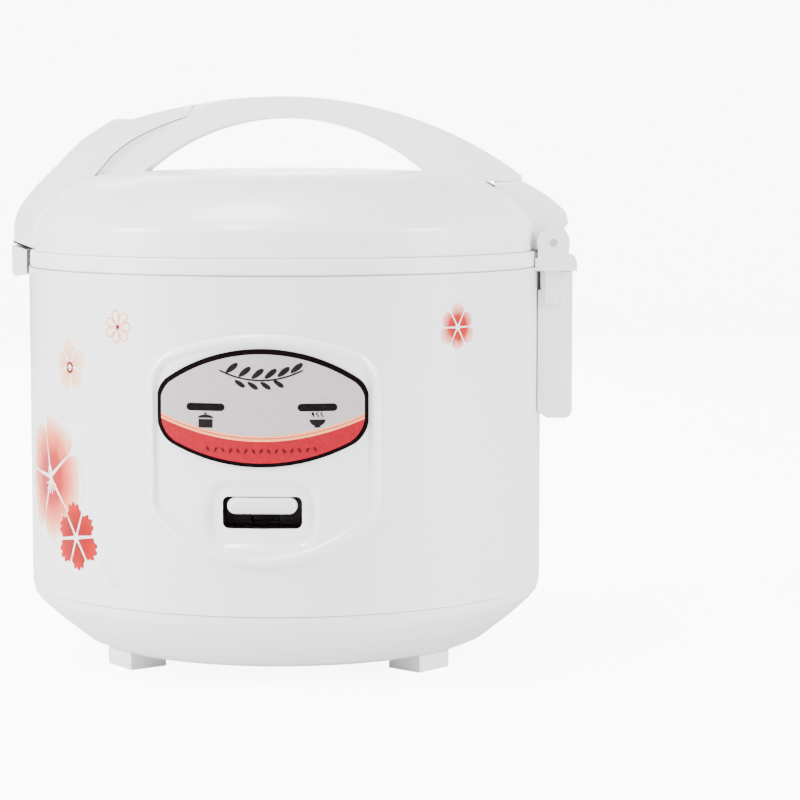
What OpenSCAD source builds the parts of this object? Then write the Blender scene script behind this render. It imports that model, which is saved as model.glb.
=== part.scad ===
// Household rice cooker with a hinged, arch-handled lid and a lift-out inner pot.
// The Z axis is the cooker's own axis and Z = 0 is the surface that it stands on.
// The control panel faces -Y, the lid latch is at -X, the lid hinge at +X, the power inlet at +Y.

/* [Body] */
// Outside diameter of the sleeve
body_d = 254; // [235:1:300]
// Height of the sleeve's lower edge above the table
base_h = 37; // [34:1:45]
// Height of the sleeve
sleeve_h = 155.6; // [150:0.1:190]
// Thickness of the sleeve
sleeve_wall = 1.2; // [0.8:0.1:2]
// Height of the visible band of the top ring
ring_band_h = 8; // [7:0.5:12]
// Thickness of the plastic base
pan_wall = 3; // [2:0.5:4]
// Height of the feet
foot_h = 8; // [6:0.5:12]

/* [Inner pot] */
// Outside diameter of the pot's rim
pot_rim_d = 200; // [180:1:204]
// Outside diameter of the pot's wall
pot_d = 177; // [160:1:182]
// Height of the pot
pot_h = 110.7; // [100:0.1:116]
// Thickness of the pot
pot_wall = 1.8; // [1.2:0.1:3]
// Radius of the bend between the pot's wall and its floor
pot_bend_r = 48; // [30:1:55]

/* [Lid] */
// Height of the lid's straight skirt
lid_skirt_h = 11.5; // [9:0.1:16]
// Height of the dome above the skirt
dome_h = 28.3; // [20:0.1:36]
// Thickness of the dome
dome_wall = 2.5; // [1.5:0.1:3]
// Gap all round between the lid and the top ring
lid_gap = 0.4; // [0.4:0.1:1.5]

/* [Handle] */
// Height of the handle's top above the dome's top
handle_rise = 35; // [30:0.5:45]
// Thickness of the grip
grip_t = 10.5; // [8:0.5:14]
// Width of the handle
handle_w = 30; // [24:1:36]

/* [Control panel] */
// Half width of the raised bezel
bezel_half_w = 54; // [50:1:60]
// How far the bezel stands proud of the sleeve
bezel_proud = 4; // [3:0.5:6]
// Height of the fascia's middle above the table
fascia_z = 133.3; // [130:0.1:140]
// Width of the switch slot
slot_w = 36.4; // [34:0.2:42]
// Height of the switch slot
slot_h = 14.7; // [14:0.1:18]
// Height of the slot's middle above the table
slot_z = 85.2; // [84:0.1:88]
// Width of the cook key
key_w = 32; // [28:0.5:33]
// Height of the cook key
key_h = 7.6; // [7:0.1:8]
// Travel of the cook key
key_travel = 6.3; // [5:0.1:6.4]
// How far the thermostat's sensor can be pressed down
sensor_travel = 1.5; // [1:0.1:2]

/* [Hinge and latch] */
// Radius of the hinge pin
pin_r = 2; // [1.5:0.1:2.5]
// Radial clearance of a pin that turns
pin_clear = 0.05; // [0.02:0.01:0.08]
// Width of the release button
button_w = 34; // [28:1:38]

/* [Hidden] */
$fn = 96;
// A cut runs this far past the face that it opens
past = 1;
// Radial gap between plastic or sheet parts that nest
nest = 0.4;
// Gap between a moving piece and what it faces
run_gap = 0.3;

// Levels
body_r = body_d / 2;
sleeve_top = base_h + sleeve_h;
ring_top = sleeve_top + ring_band_h;
lid_bottom = ring_top + lid_gap;
skirt_top = lid_bottom + lid_skirt_h;
dome_top = skirt_top + dome_h;
handle_top = dome_top + handle_rise;

// Sleeve and ring
sleeve_in_r = body_r - sleeve_wall;
ring_r = body_r - 0.6;
shadow_gap = 0.7;
lid_r = body_r - 2.4;

// Pot and its well
pot_r = pot_d / 2;
rim_r = pot_rim_d / 2;
rim_top = ring_top - 1.6;
pot_floor = rim_top - pot_h;
well_r = pot_r + 4.5;
shell_wall = 0.8;
shell_floor = pot_floor - 28.3;
seat_z = rim_top - 4;

// Heating plate
plate_top = pot_floor - run_gap;
plate_hole_r = 19;
plate_r = pot_r - 16.5;
heater_ring_r = plate_r - 18;
heater_ring_w = 16;
plate_under = plate_top - 8;
heater_under = plate_top - 12;

// Thermostat
cap_r = 17.5;
tube_r = 15;
magnet_r = 8;
upper_magnet_h = 6;
upper_magnet_z = plate_top - 3.5 - upper_magnet_h;
lower_magnet_h = 5;

// Cook lever
lever_pivot_y = -50;
lever_pivot_z = shell_floor - 12;
lever_w = 12;
key_front = body_r + bezel_proud - 0.5;
key_top = slot_z + slot_h / 2 - 0.4;
key_z = key_top - key_h / 2;
arm_y = -(well_r + shell_wall + 10);
lever_deg = asin(key_travel / (lever_pivot_y - arm_y + 1.5));
foot_disc_r = 3;
magnet_lift = (foot_disc_r - lever_pivot_y) * sin(lever_deg);
lever_tongue_top = lever_pivot_z - 1.8;
rod_foot_z = lever_tongue_top + run_gap;
lower_magnet_z = upper_magnet_z - magnet_lift - sensor_travel - run_gap;

// Hinge
hinge_x = body_r + 6;
hinge_z = lid_bottom + 3.6;
knuckle_r = 6.3;
ear_r = 8;
ear_in = 20.2;
ear_out = 28;
lug_top = hinge_z - 7.5;
lug_bottom = sleeve_top - 1.6;
lug_x = body_r + 17.5;

// Latch
button_out = body_r + 7.5;
button_in = body_r + 1.4;
hook_x = body_r - 6.5;
latch_z = ring_top - 4.3;
latch_pin_r = 1.5;
pocket_half_w = 14;

// Control panel
bezel_r = body_r + bezel_proud;
bezel_top = 167;
bezel_bottom = 60.5;
bezel_top_r = 120;
bezel_bottom_r = 72;
fascia_half_w = 48.3;
frame_w = 2;
lamp_x = 25.5;
lamp_w = 17.5;
lamp_h = 3.4;

// Steam valve
valve_x = 30;
valve_y = 62;
valve_r = 15.2;

// Dew collector
dew_top = lug_bottom - 0.5;
dew_h = 72;
dew_half_w = 22;
dew_out = body_r + 15.5;
dew_wall = 1.6;

// Power inlet
inlet_z = base_h + 24;
inlet_w = 34;
inlet_h = 24;

// Colours
shell_white = [0.93, 0.93, 0.94];
trim_white = [0.9, 0.9, 0.91];
dark = [0.08, 0.08, 0.09];
steel = [0.7, 0.71, 0.73];
silicone = [0.82, 0.82, 0.8];

// ---- Shapes that repeat ----

function arc(cx, cy, r, from, to, n) =
    [for (i = [0:n]) let (a = from + (to - from) * i / n) [cx + r * cos(a), cy + r * sin(a)]];

// Sag of a circle of radius r at the distance x from its top
function sag(r, x) = r - sqrt(r * r - x * x);

// Outline of the dome at radius r: a slightly crowned top, then a full shoulder
crown_r = 0.71 * lid_r;
crown_sag = 2.6;
shoulder_power = 1.4;
function dome_z(r) = r <= crown_r
    ? dome_top - crown_sag * pow(r / crown_r, 2)
    : skirt_top + (dome_h - crown_sag)
        * pow(1 - pow((r - crown_r) / (lid_r - crown_r), shoulder_power), 1 / shoulder_power);

// Turns an outline of [radius, height] points round the Z axis
module turned(points) {
    rotate_extrude($fn = 180) polygon(points);
}

module tube(outer_r, inner_r, low, high) {
    translate([0, 0, low]) difference() {
        cylinder(r = outer_r, h = high - low, $fn = 180);
        translate([0, 0, -past]) cylinder(r = inner_r, h = high - low + 2 * past, $fn = 180);
    }
}

module post(x, y, r, low, high) {
    translate([x, y, low]) cylinder(r = r, h = high - low, $fn = 48);
}

module box(low, high) {
    translate(low) cube(high - low);
}

// Extrudes an outline drawn in X and Z, half of width on each side of y
module across(width, y = 0) {
    translate([0, y, 0]) rotate([90, 0, 0]) linear_extrude(width, center = true) children();
}

// A round bar along Y
module bar_y(x, z, r, width, y = 0) {
    translate([x, y, z]) rotate([90, 0, 0]) cylinder(r = r, h = width, center = true, $fn = 64);
}

// A round bar along X
module bar_x(y, z, r, from, to) {
    translate([from, y, z]) rotate([0, 90, 0]) cylinder(r = r, h = to - from, $fn = 64);
}

// A wire through points: round bars with a ball at each bend
module wire(points, r) {
    for (i = [0:len(points) - 2]) {
        step = points[i + 1] - points[i];
        translate(points[i])
            rotate([0, acos(step[2] / norm(step)), atan2(step[1], step[0])])
                cylinder(r = r, h = norm(step), $fn = 24);
    }
    for (i = [1:len(points) - 2]) translate(points[i]) sphere(r = r + 0.1, $fn = 24);
}

// A coil spring standing along Z on the origin
module spring(coil_r, wire_r, length, turns) {
    sides = 6;
    per_turn = 18;
    rings = round(turns * per_turn);
    points = [for (i = [0:rings]) for (j = [0:sides - 1])
        let (a = 360 * i / per_turn, b = 360 * j / sides, r = coil_r + wire_r * cos(b))
            [r * cos(a), r * sin(a), wire_r + (length - 2 * wire_r) * i / rings + wire_r * sin(b)]];
    walls = [for (i = [0:rings - 1]) for (j = [0:sides - 1])
        let (k = (j + 1) % sides)
            [i * sides + j, i * sides + k, (i + 1) * sides + k, (i + 1) * sides + j]];
    ends = [[for (j = [sides - 1:-1:0]) j], [for (j = [0:sides - 1]) rings * sides + j]];
    polyhedron(points, concat(walls, ends), convexity = 10);
}

// ---- Outlines ----

dome_radii = concat([for (i = [0:6]) crown_r * i / 6],
    [for (i = [1:14]) crown_r + (lid_r - crown_r) * (1 - pow(1 - i / 14, 1.6))]);
dome_line = [for (r = dome_radii) [r, dome_z(r)]];

// Everything inside the lid's outer surface, for fitting pieces against it
module lid_volume() {
    turned(concat(dome_line, [[lid_r, lid_bottom], [0, lid_bottom]]));
}

// The pan's outer surface from the table side up to the sleeve
pan_line = [[body_r - 31, foot_h], [body_r - 26, foot_h + 2.2], [body_r - 12, foot_h + 13.4],
    [body_r - 3.6, foot_h + 21.2], [body_r - 1.2, foot_h + 24.2], [body_r - 0.6, foot_h + 26.4]];

// The bezel's outline in X and Z: arched top and bottom, straight sides, round corners
bezel_corner = 12;
module shield_outline(inset) {
    w = bezel_half_w - inset;
    top_r = bezel_top_r - inset;
    bottom_r = bezel_bottom_r - inset;
    c = bezel_corner - inset / 2;
    top = bezel_top - inset;
    bottom = bezel_bottom + inset;
    reach_top = w - c;
    corner_top = top - top_r + sqrt(pow(top_r - c, 2) - pow(reach_top, 2));
    corner_bottom = bottom + bottom_r - sqrt(pow(bottom_r - c, 2) - pow(reach_top, 2));
    a_top = asin(reach_top / (top_r - c));
    a_bottom = asin(reach_top / (bottom_r - c));
    polygon(concat(
        arc(reach_top, corner_top, c, 0, 90 - a_top, 6),
        arc(0, top - top_r, top_r, 90 - a_top, 90 + a_top, 16),
        arc(-reach_top, corner_top, c, 90 + a_top, 180, 6),
        arc(-reach_top, corner_bottom, c, 180, 270 - a_bottom, 6),
        arc(0, bottom + bottom_r, bottom_r, 270 - a_bottom, 270 + a_bottom, 16),
        arc(reach_top, corner_bottom, c, 270 + a_bottom, 360, 6)));
}

// The fascia's outline: an eye shape with short straight sides
fascia_up = 27;
fascia_down = 26.9;
fascia_side_up = 9.9;
fascia_side_down = 13;
module fascia_outline(inset) {
    w = fascia_half_w - inset;
    up_r = (pow(fascia_half_w, 2) + pow(fascia_up - fascia_side_up, 2))
        / (2 * (fascia_up - fascia_side_up)) - inset;
    down_r = (pow(fascia_half_w, 2) + pow(fascia_down - fascia_side_down, 2))
        / (2 * (fascia_down - fascia_side_down)) - inset;
    a_up = asin(w / up_r);
    a_down = asin(w / down_r);
    polygon(concat(
        arc(0, fascia_z + fascia_up - inset - up_r, up_r, 90 - a_up, 90 + a_up, 20),
        arc(0, fascia_z - fascia_down + inset + down_r, down_r, 270 - a_down, 270 + a_down, 20)));
}

// A shell bent round the Z axis between two radii, cut to an outline seen from the front
module front_shell(outer_r, inner_r) {
    intersection() {
        tube(outer_r, inner_r, 40, 190);
        across(body_r, -body_r) children();
    }
}

// ---- Base ----

module pan_solid() {
    turned(concat([[0, foot_h]], pan_line, [[body_r - 0.6, base_h - nest], [0, base_h - nest]]));
}

module base_pan() {
    vent_slots = 16;
    color(shell_white) difference() {
        turned(concat([[0, foot_h]], pan_line, [
            [body_r - 0.6, base_h - nest],
            [sleeve_in_r - nest, base_h - nest],
            [sleeve_in_r - nest, base_h + 7],
            [sleeve_in_r - nest - 2.4, base_h + 7],
            [sleeve_in_r - nest - 2.4, base_h - 6],
            [body_r - 14, foot_h + 15],
            [body_r - 32.5, foot_h + pan_wall],
            [0, foot_h + pan_wall]]));
        for (i = [0:vent_slots - 1]) rotate([0, 0, (i + 0.5) * 360 / vent_slots])
            box([36, -1.75, foot_h - past], [58, 1.75, foot_h + pan_wall + past]);
        for (p = post_places) post(p[0], p[1], 2, foot_h - past, foot_h + pan_wall + past);
    }
}

foot_r = 85;
foot_half_angle = 52;
// One foot, turned to its place; side is 1 at the right and end is 1 at the rear
module foot(side, end) {
    color(shell_white) difference() {
        rotate([0, 0, end > 0 ? 90 - side * foot_half_angle : -90 + side * foot_half_angle])
            box([foot_r - 8, -11, 0], [foot_r + 12, 11, foot_h + 10]);
        pan_solid();
    }
}

post_ring_r = 70;
post_places = [for (a = [45:90:315]) [post_ring_r * cos(a), post_ring_r * sin(a)]];

module chamber_posts() {
    color(steel) for (p = post_places) difference() {
        post(p[0], p[1], 5, foot_h + pan_wall, shell_floor);
        post(p[0], p[1], 1.7, foot_h, shell_floor - 20);
    }
}

module base_screws() {
    color(steel) for (p = post_places) difference() {
        union() {
            post(p[0], p[1], 1.6, foot_h - 0.5, foot_h + 16);
            post(p[0], p[1], 4, foot_h - 2.4, foot_h);
        }
        translate([p[0], p[1], foot_h - 2.4 - past]) rotate([0, 0, 45]) {
            translate([-2.4, -0.45, 0]) cube([4.8, 0.9, 1.2 + past]);
            translate([-0.45, -2.4, 0]) cube([0.9, 4.8, 1.2 + past]);
        }
    }
}

// ---- Sleeve, ring and well ----

window_half_w = 38;
window_low = slot_z - 13;
window_high = fascia_z + 12;
module outer_sleeve() {
    color(shell_white) difference() {
        tube(body_r, sleeve_in_r, base_h, sleeve_top);
        box([-window_half_w, -body_r - past, window_low], [window_half_w, -60, window_high]);
        box([-inlet_w / 2 - nest, 60, inlet_z - inlet_h / 2 - nest],
            [inlet_w / 2 + nest, body_r + past, inlet_z + inlet_h / 2 + nest]);
    }
}

module top_ring() {
    skirt_in = sleeve_in_r - nest - 2.9;
    color(trim_white) difference() {
        union() {
            turned([
                [body_r - 1, sleeve_top], [body_r - 1, sleeve_top + shadow_gap],
                [ring_r, sleeve_top + shadow_gap], [ring_r, ring_top - 1],
                [ring_r - 0.3, ring_top - 0.3], [ring_r - 1, ring_top],
                [body_r - 8, ring_top], [body_r - 9, ring_top - 0.5], [body_r - 10.5, ring_top - 2.4],
                [rim_r + 5.5, rim_top - 2.8], [rim_r + 4, seat_z],
                [well_r + 1.4, seat_z], [well_r + 1.4, seat_z - 1.6], [rim_r + 1, seat_z - 1.6],
                [rim_r + 3.5, seat_z - 2.6], [skirt_in - 3, ring_top - 5.4],
                [skirt_in, ring_top - 5.6], [skirt_in, sleeve_top - 8.6],
                [sleeve_in_r - nest, sleeve_top - 8.6], [sleeve_in_r - nest, sleeve_top]]);
            intersection() {
                box([-body_r, -pocket_half_w - 4, ring_top - 9.6],
                    [-hook_x + 6.5, pocket_half_w + 4, ring_top - 1]);
                cylinder(r = sleeve_in_r - nest, h = ring_top, $fn = 180);
            }
        }
        // Pocket for the release button's stem and hook
        box([-body_r - past, -pocket_half_w, ring_top - 8], [-hook_x + 4.5, pocket_half_w, ring_top + past]);
        bar_y(-hook_x, latch_z, latch_pin_r, 2 * pocket_half_w + 6);
        // Seat and screw holes for the hinge bracket's tongue
        box([body_r - 9.4, -10.3, lug_top - 3.8], [body_r + past, 10.3, lug_top - 0.2]);
        for (p = hinge_screw_places) post(p[0], p[1], 1.3, lug_top - 4, lug_top + 1.7);
    }
}

module inner_shell() {
    flange_z = seat_z - 1.6 - shell_wall;
    color(steel) difference() {
        turned([
            [22, shell_floor], [well_r + shell_wall, shell_floor],
            [well_r + shell_wall, flange_z], [rim_r, flange_z],
            [rim_r, flange_z + shell_wall], [well_r, flange_z + shell_wall],
            [well_r, shell_floor + shell_wall], [22, shell_floor + shell_wall]]);
        for (p = terminal_places)
            post(p[0], p[1], 5, shell_floor - past, shell_floor + shell_wall + past);
    }
}

// ---- Heater ----

terminal_places = [for (a = [60, 120]) [heater_ring_r * cos(a), heater_ring_r * sin(a)]];
leg_places = [for (a = [90:120:330]) [32 * cos(a), 32 * sin(a)]];
keep_warm_place = [34 * cos(150), 34 * sin(150)];

module heating_plate() {
    dish_r = pot_bend_r + run_gap + 0.05;
    flat_r = pot_r - pot_bend_r;
    lip_angle = -acos((plate_r - 2 - flat_r) / dish_r);
    lip_z = pot_floor + pot_bend_r + dish_r * sin(lip_angle);
    color([0.75, 0.75, 0.76]) turned(concat(
        [[plate_hole_r, plate_under], [plate_hole_r, plate_top]],
        arc(flat_r, plate_top + dish_r, dish_r, -90, lip_angle, 12),
        [[plate_r, lip_z - 0.4], [plate_r, lip_z - 5],
        [heater_ring_r + heater_ring_w / 2, plate_under],
        [heater_ring_r + heater_ring_w / 2 - 1, heater_under],
        [heater_ring_r - heater_ring_w / 2 + 1, heater_under],
        [heater_ring_r - heater_ring_w / 2, plate_under]]));
}

module heater_terminals() {
    color(steel) for (p = terminal_places) {
        post(p[0], p[1], 3, shell_floor - 2, heater_under);
        post(p[0], p[1], 1.6, shell_floor - 8, shell_floor - 2);
    }
}

module plate_legs() {
    color(steel) for (p = leg_places) post(p[0], p[1], 3, shell_floor + shell_wall, plate_under);
}

module keep_warm_thermostat() {
    color(dark) {
        post(keep_warm_place[0], keep_warm_place[1], 7.5, plate_under - 7, plate_under);
        for (dx = [-4, 4]) translate([keep_warm_place[0] + dx, keep_warm_place[1], plate_under - 12])
            box([-1.5, -0.4, 0], [1.5, 0.4, 6]);
    }
}

module thermal_fuse() {
    color([0.8, 0.75, 0.6]) {
        translate([-(well_r + shell_wall + 3.2), -14, shell_floor + 30])
            rotate([-90, 0, 0]) cylinder(r = 2, h = 12, $fn = 32);
        box([-(well_r + shell_wall + 5.6), -10, shell_floor + 26.5],
            [-(well_r + shell_wall + 0.1), -6, shell_floor + 33.5]);
    }
}

// ---- Magnetic thermostat ----

tube_shoulder = shell_floor + 1.5;
module thermostat_tube() {
    color(steel) turned([
        [5, shell_floor - 1.2], [27, shell_floor - 1.2], [27, shell_floor - 0.1], [21, shell_floor - 0.1],
        [21, tube_shoulder], [tube_r, tube_shoulder], [tube_r, plate_top - 4.5],
        [tube_r - 1, plate_top - 4.5], [tube_r - 1, tube_shoulder], [5, tube_shoulder]]);
}

module sensor_cap() {
    color([0.78, 0.78, 0.8]) turned([
        [0, plate_top - 1.5], [cap_r - 1, plate_top - 1.5], [cap_r - 1, plate_top - 14],
        [cap_r, plate_top - 14], [cap_r, plate_top - 0.9], [cap_r - 0.9, plate_top],
        [0, plate_top]]);
}

module upper_magnet() {
    color(dark) {
        post(0, 0, magnet_r + 1, upper_magnet_z, upper_magnet_z + upper_magnet_h);
        post(0, 0, 3, upper_magnet_z + upper_magnet_h - 1, plate_top - 1.5);
    }
}

module lower_magnet() {
    color(dark) tube(magnet_r, 2.5, lower_magnet_z - lower_magnet_h, lower_magnet_z);
}

module magnet_rod() {
    color(steel) {
        post(0, 0, 2.4, rod_foot_z + 1, lower_magnet_z - 0.5);
        post(0, 0, foot_disc_r, rod_foot_z, rod_foot_z + 1);
        post(0, 0, 4.4, lower_magnet_z - lower_magnet_h - 1.2, lower_magnet_z - lower_magnet_h);
        post(0, 0, 4.4, rod_foot_z + 2, rod_foot_z + 3);
    }
}

module magnet_spring() {
    color(steel) translate([0, 0, rod_foot_z + 3.1])
        spring(3.5, 0.3, shell_floor - 1.3 - rod_foot_z - 3.1, 3);
}

module sensor_spring() {
    color(steel) translate([0, 0, tube_shoulder + 0.1])
        spring(12, 0.7, plate_top - 1.6 - tube_shoulder - 0.1, 6);
}

// ---- Cook lever ----

module lever_bracket() {
    ear_x = lever_w / 2 + 4;
    color(steel) difference() {
        union() {
            box([-ear_x - 1.5, lever_pivot_y - 8, shell_floor - 1.6],
                [ear_x + 1.5, lever_pivot_y + 12, shell_floor - 0.1]);
            for (s = [-1, 1]) translate([s * (ear_x + 0.75), 0, 0])
                box([-0.75, lever_pivot_y - 8, lever_pivot_z - 5],
                    [0.75, lever_pivot_y + 8, shell_floor - 0.1]);
        }
        bar_x(lever_pivot_y, lever_pivot_z, pin_r, -ear_x - 3, ear_x + 3);
    }
}

module lever_pin() {
    color(steel) bar_x(lever_pivot_y, lever_pivot_z, pin_r, -lever_w / 2 - 8, lever_w / 2 + 8);
}

module cook_lever() {
    half = lever_w / 2;
    color(steel) difference() {
        union() {
            bar_x(lever_pivot_y, lever_pivot_z, 5, -half - 3.4, half + 3.4);
            box([-half, lever_pivot_y - 3, lever_tongue_top - 2.8], [half, foot_disc_r, lever_tongue_top]);
            box([-half, arm_y - 4, lever_tongue_top - 2.8], [half, lever_pivot_y + 3, lever_tongue_top]);
        }
        bar_x(lever_pivot_y, lever_pivot_z, pin_r + pin_clear, -half - 5, half + 5);
    }
}

module cook_key() {
    round_r = key_h / 2;
    color(shell_white) translate([0, -key_front + 6.4, key_z]) rotate([90, 0, 0]) {
        for (s = [-1, 1]) translate([s * (key_w / 2 - round_r), 0, 0])
            cylinder(r = round_r, h = 6.4, $fn = 48);
        translate([-(key_w / 2 - round_r), -round_r, 0]) cube([key_w - key_h, key_h, 6.4]);
    }
}

module key_link() {
    half = lever_w / 2;
    color(dark) {
        box([-half, arm_y - 3, rod_foot_z], [half, arm_y, key_z + 1.5]);
        box([-half, -key_front + 6.5, key_z - 1.5], [half, arm_y - 1, key_z + 1.5]);
    }
}

module contact_block() {
    near = lever_w / 2 + 8;
    color(dark) {
        box([near, lever_pivot_y - 8, shell_floor - 12], [near + 14, lever_pivot_y + 12, shell_floor - 0.1]);
        box([near + 3, lever_pivot_y + 12, shell_floor - 9],
            [near + 11, lever_pivot_y + 19, shell_floor - 8]);
    }
}

// ---- Control panel ----

module front_bezel() {
    shroud = 1;
    color(shell_white) difference() {
        front_shell(bezel_r, body_r + 0.1) shield_outline(0);
        intersection() {
            tube(bezel_r + past, bezel_r - 1.6, 90, 180);
            across(body_r, -body_r) fascia_outline(-nest / 4);
        }
        box([-slot_w / 2, -bezel_r - past, slot_z - slot_h / 2], [slot_w / 2, -60, slot_z + slot_h / 2]);
        for (s = [-1, 1]) translate([s * lamp_x, 0, fascia_z])
            box([-lamp_w / 2 - shroud, -bezel_r - past, -lamp_h / 2 - shroud],
                [lamp_w / 2 + shroud, -60, lamp_h / 2 + shroud]);
    }
}

module panel_frame() {
    color(dark) intersection() {
        difference() {
            tube(bezel_r - 0.1, bezel_r - 1.5, 90, 180);
            across(body_r + 10, -body_r) fascia_outline(frame_w);
        }
        across(body_r, -body_r) fascia_outline(0);
    }
}

module fascia_plate() {
    color([0.74, 0.73, 0.75]) difference() {
        intersection() {
            tube(bezel_r - 0.5, bezel_r - 1.5, 90, 180);
            across(body_r, -body_r) fascia_outline(frame_w + 0.1);
        }
        for (s = [-1, 1]) box([s * lamp_x - lamp_w / 2, -bezel_r - past, fascia_z - lamp_h / 2],
            [s * lamp_x + lamp_w / 2, -60, fascia_z + lamp_h / 2]);
    }
}

module lamp_lenses() {
    color(dark) intersection() {
        tube(bezel_r - 0.4, bezel_r - 1.5, 90, 180);
        for (s = [-1, 1]) box([s * lamp_x - lamp_w / 2 + 0.1, -bezel_r, fascia_z - lamp_h / 2 + 0.1],
            [s * lamp_x + lamp_w / 2 - 0.1, -60, fascia_z + lamp_h / 2 - 0.1]);
    }
}

board_y = -sleeve_in_r + 13;
module lamp_board() {
    color([0.55, 0.42, 0.2]) box([-34, board_y, fascia_z - 8], [34, board_y + 1.6, fascia_z + 8]);
}

module indicator_lamps() {
    color([0.9, 0.6, 0.3]) for (s = [-1, 1])
        translate([s * lamp_x, board_y, fascia_z]) rotate([90, 0, 0]) {
            cylinder(r = 2.6, h = 7, $fn = 32);
            translate([0, 0, 7]) sphere(r = 2.6, $fn = 32);
        }
}

module switch_shroud() {
    low = [-slot_w / 2 - 1.5, -sleeve_in_r - 0.5, slot_z - slot_h / 2 - 1.5];
    high = [slot_w / 2 + 1.5, arm_y - 5, slot_z + slot_h / 2 + 1.5];
    color(dark) difference() {
        box(low, high);
        box([low[0] + 1.5, -body_r - past, low[2] + 1.5], [high[0] - 1.5, high[1] - 1.5, high[2] - 1.5]);
        box([-lever_w / 2 - 1, -body_r, key_z - key_travel - 3.2], [lever_w / 2 + 1, 0, key_z + 2.2]);
        tube(body_r + 10, body_r, low[2] - past, high[2] + past);
    }
}

// ---- Power inlet and wiring ----

module inlet_housing() {
    low_z = inlet_z - inlet_h / 2;
    high_z = inlet_z + inlet_h / 2;
    depth = 24;
    color(dark) difference() {
        union() {
            box([-inlet_w / 2, body_r - depth, low_z], [inlet_w / 2, body_r + 1.5, high_z]);
            difference() {
                box([-inlet_w / 2 - 4, body_r - 4, low_z - 4], [inlet_w / 2 + 4, body_r + 1.5, high_z + 4]);
                cylinder(r = body_r + 0.1, h = 200, $fn = 180);
            }
        }
        box([-inlet_w / 2 + 3.5, body_r - depth + 4, low_z + 3],
            [inlet_w / 2 - 3.5, body_r + 2 + past, high_z - 3]);
    }
}

pin_places = [[0, 3.5], [-7, -3], [7, -3]];
module inlet_pins() {
    color([0.8, 0.68, 0.35]) for (p = pin_places)
        box([p[0] - 1, body_r - 20, inlet_z + p[1] - 2], [p[0] + 1, body_r - 9, inlet_z + p[1] + 2]);
}

module internal_wires() {
    back = body_r - 24;
    drop = shell_floor - 14;
    color([0.6, 0.1, 0.08]) wire([[-7, back - 0.2, inlet_z - 3], [-9, back - 10, inlet_z - 3],
        [-24, back - 34, drop], [terminal_places[1][0], terminal_places[1][1], drop],
        [terminal_places[1][0], terminal_places[1][1], shell_floor - 8.2]], 1.2);
    color([0.1, 0.2, 0.5]) wire([[7, back - 0.2, inlet_z - 3], [9, back - 10, inlet_z - 3],
        [24, back - 34, drop], [terminal_places[0][0], terminal_places[0][1], drop],
        [terminal_places[0][0], terminal_places[0][1], shell_floor - 8.2]], 1.2);
    color([0.2, 0.5, 0.15]) wire([[0, back - 0.2, inlet_z + 3.5], [0, back - 4, inlet_z + 3],
        [0, back - 5, shell_floor - 5], [0, 62, shell_floor - 4], [0, 60, shell_floor - 1.3]], 1.2);
}

// ---- Hinge and dew collector ----

module hinge_bracket() {
    color(trim_white) difference() {
        union() {
            difference() {
                across(2 * ear_out) polygon([[body_r - 12, lug_bottom], [lug_x, lug_bottom],
                    [lug_x, lug_top - 1.5], [lug_x - 1.5, lug_top], [body_r - 12, lug_top]]);
                cylinder(r = body_r + 0.2, h = 300, $fn = 180);
            }
            for (s = [-1, 1]) {
                bar_y(hinge_x, hinge_z, ear_r, ear_out - ear_in, s * (ear_in + ear_out) / 2);
                translate([0, s * (ear_in + ear_out) / 2, 0])
                    box([hinge_x - ear_r + 0.5, -(ear_out - ear_in) / 2, lug_top - 1],
                        [hinge_x + ear_r - 0.5, (ear_out - ear_in) / 2, hinge_z]);
                translate([0, s * (dew_half_w + 1.4), 0])
                    box([body_r + 2, -1.1, dew_top - 16], [body_r + 9, 1.1, lug_bottom + 1]);
            }
            box([body_r - 9.2, -10, lug_top - 3.6], [body_r + 3, 10, lug_top - 0.4]);
        }
        bar_y(hinge_x, hinge_z, pin_r, 2 * ear_out + 4);
        for (p = hinge_screw_places) post(p[0], p[1], 1.3, lug_top - 5, lug_top);
    }
}

hinge_screw_places = [[body_r - 7, -6], [body_r - 7, 6]];
module hinge_screws() {
    color(steel) for (p = hinge_screw_places) {
        post(p[0], p[1], 1.2, lug_top - 4, lug_top + 1.5);
        post(p[0], p[1], 2, lug_top - 5, lug_top - 3.6);
    }
}

module hinge_pin() {
    color(steel) bar_y(hinge_x, hinge_z, pin_r, 2 * ear_out);
}

module lid_spring() {
    color(steel) translate([hinge_x, 6.8, hinge_z]) rotate([90, 0, 0])
        spring(3.4, 0.6, 13.6, 6);
}

module dew_collector() {
    low = dew_top - dew_h;
    color(shell_white) difference() {
        across(2 * dew_half_w) polygon([[body_r - 8, low + 8], [body_r + 3, low], [dew_out - 3, low],
            [dew_out - 0.8, low + 1.2], [dew_out, low + 4], [dew_out, dew_top], [body_r - 8, dew_top]]);
        cylinder(r = body_r + 0.4, h = 300, $fn = 180);
        difference() {
            box([body_r - 10, -dew_half_w + dew_wall, low + 4],
                [dew_out - dew_wall, dew_half_w - dew_wall, dew_top + past]);
            cylinder(r = body_r + 0.4 + dew_wall, h = 300, $fn = 180);
        }
        // Relief that stands the top edge off the sleeve
        difference() {
            box([body_r - 10, -dew_half_w - past, dew_top - 9],
                [body_r + 8, dew_half_w + past, dew_top + past]);
            translate([0, 0, dew_top - 20]) difference() {
                cylinder(r = body_r + 20, h = 40, $fn = 180);
                translate([0, 0, -past]) cylinder(r = body_r + 2, h = 50, $fn = 180);
            }
        }
    }
}

// ---- Lid ----

module valve_bore(r, low, high) {
    post(valve_x, valve_y, r, low, high);
}

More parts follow.
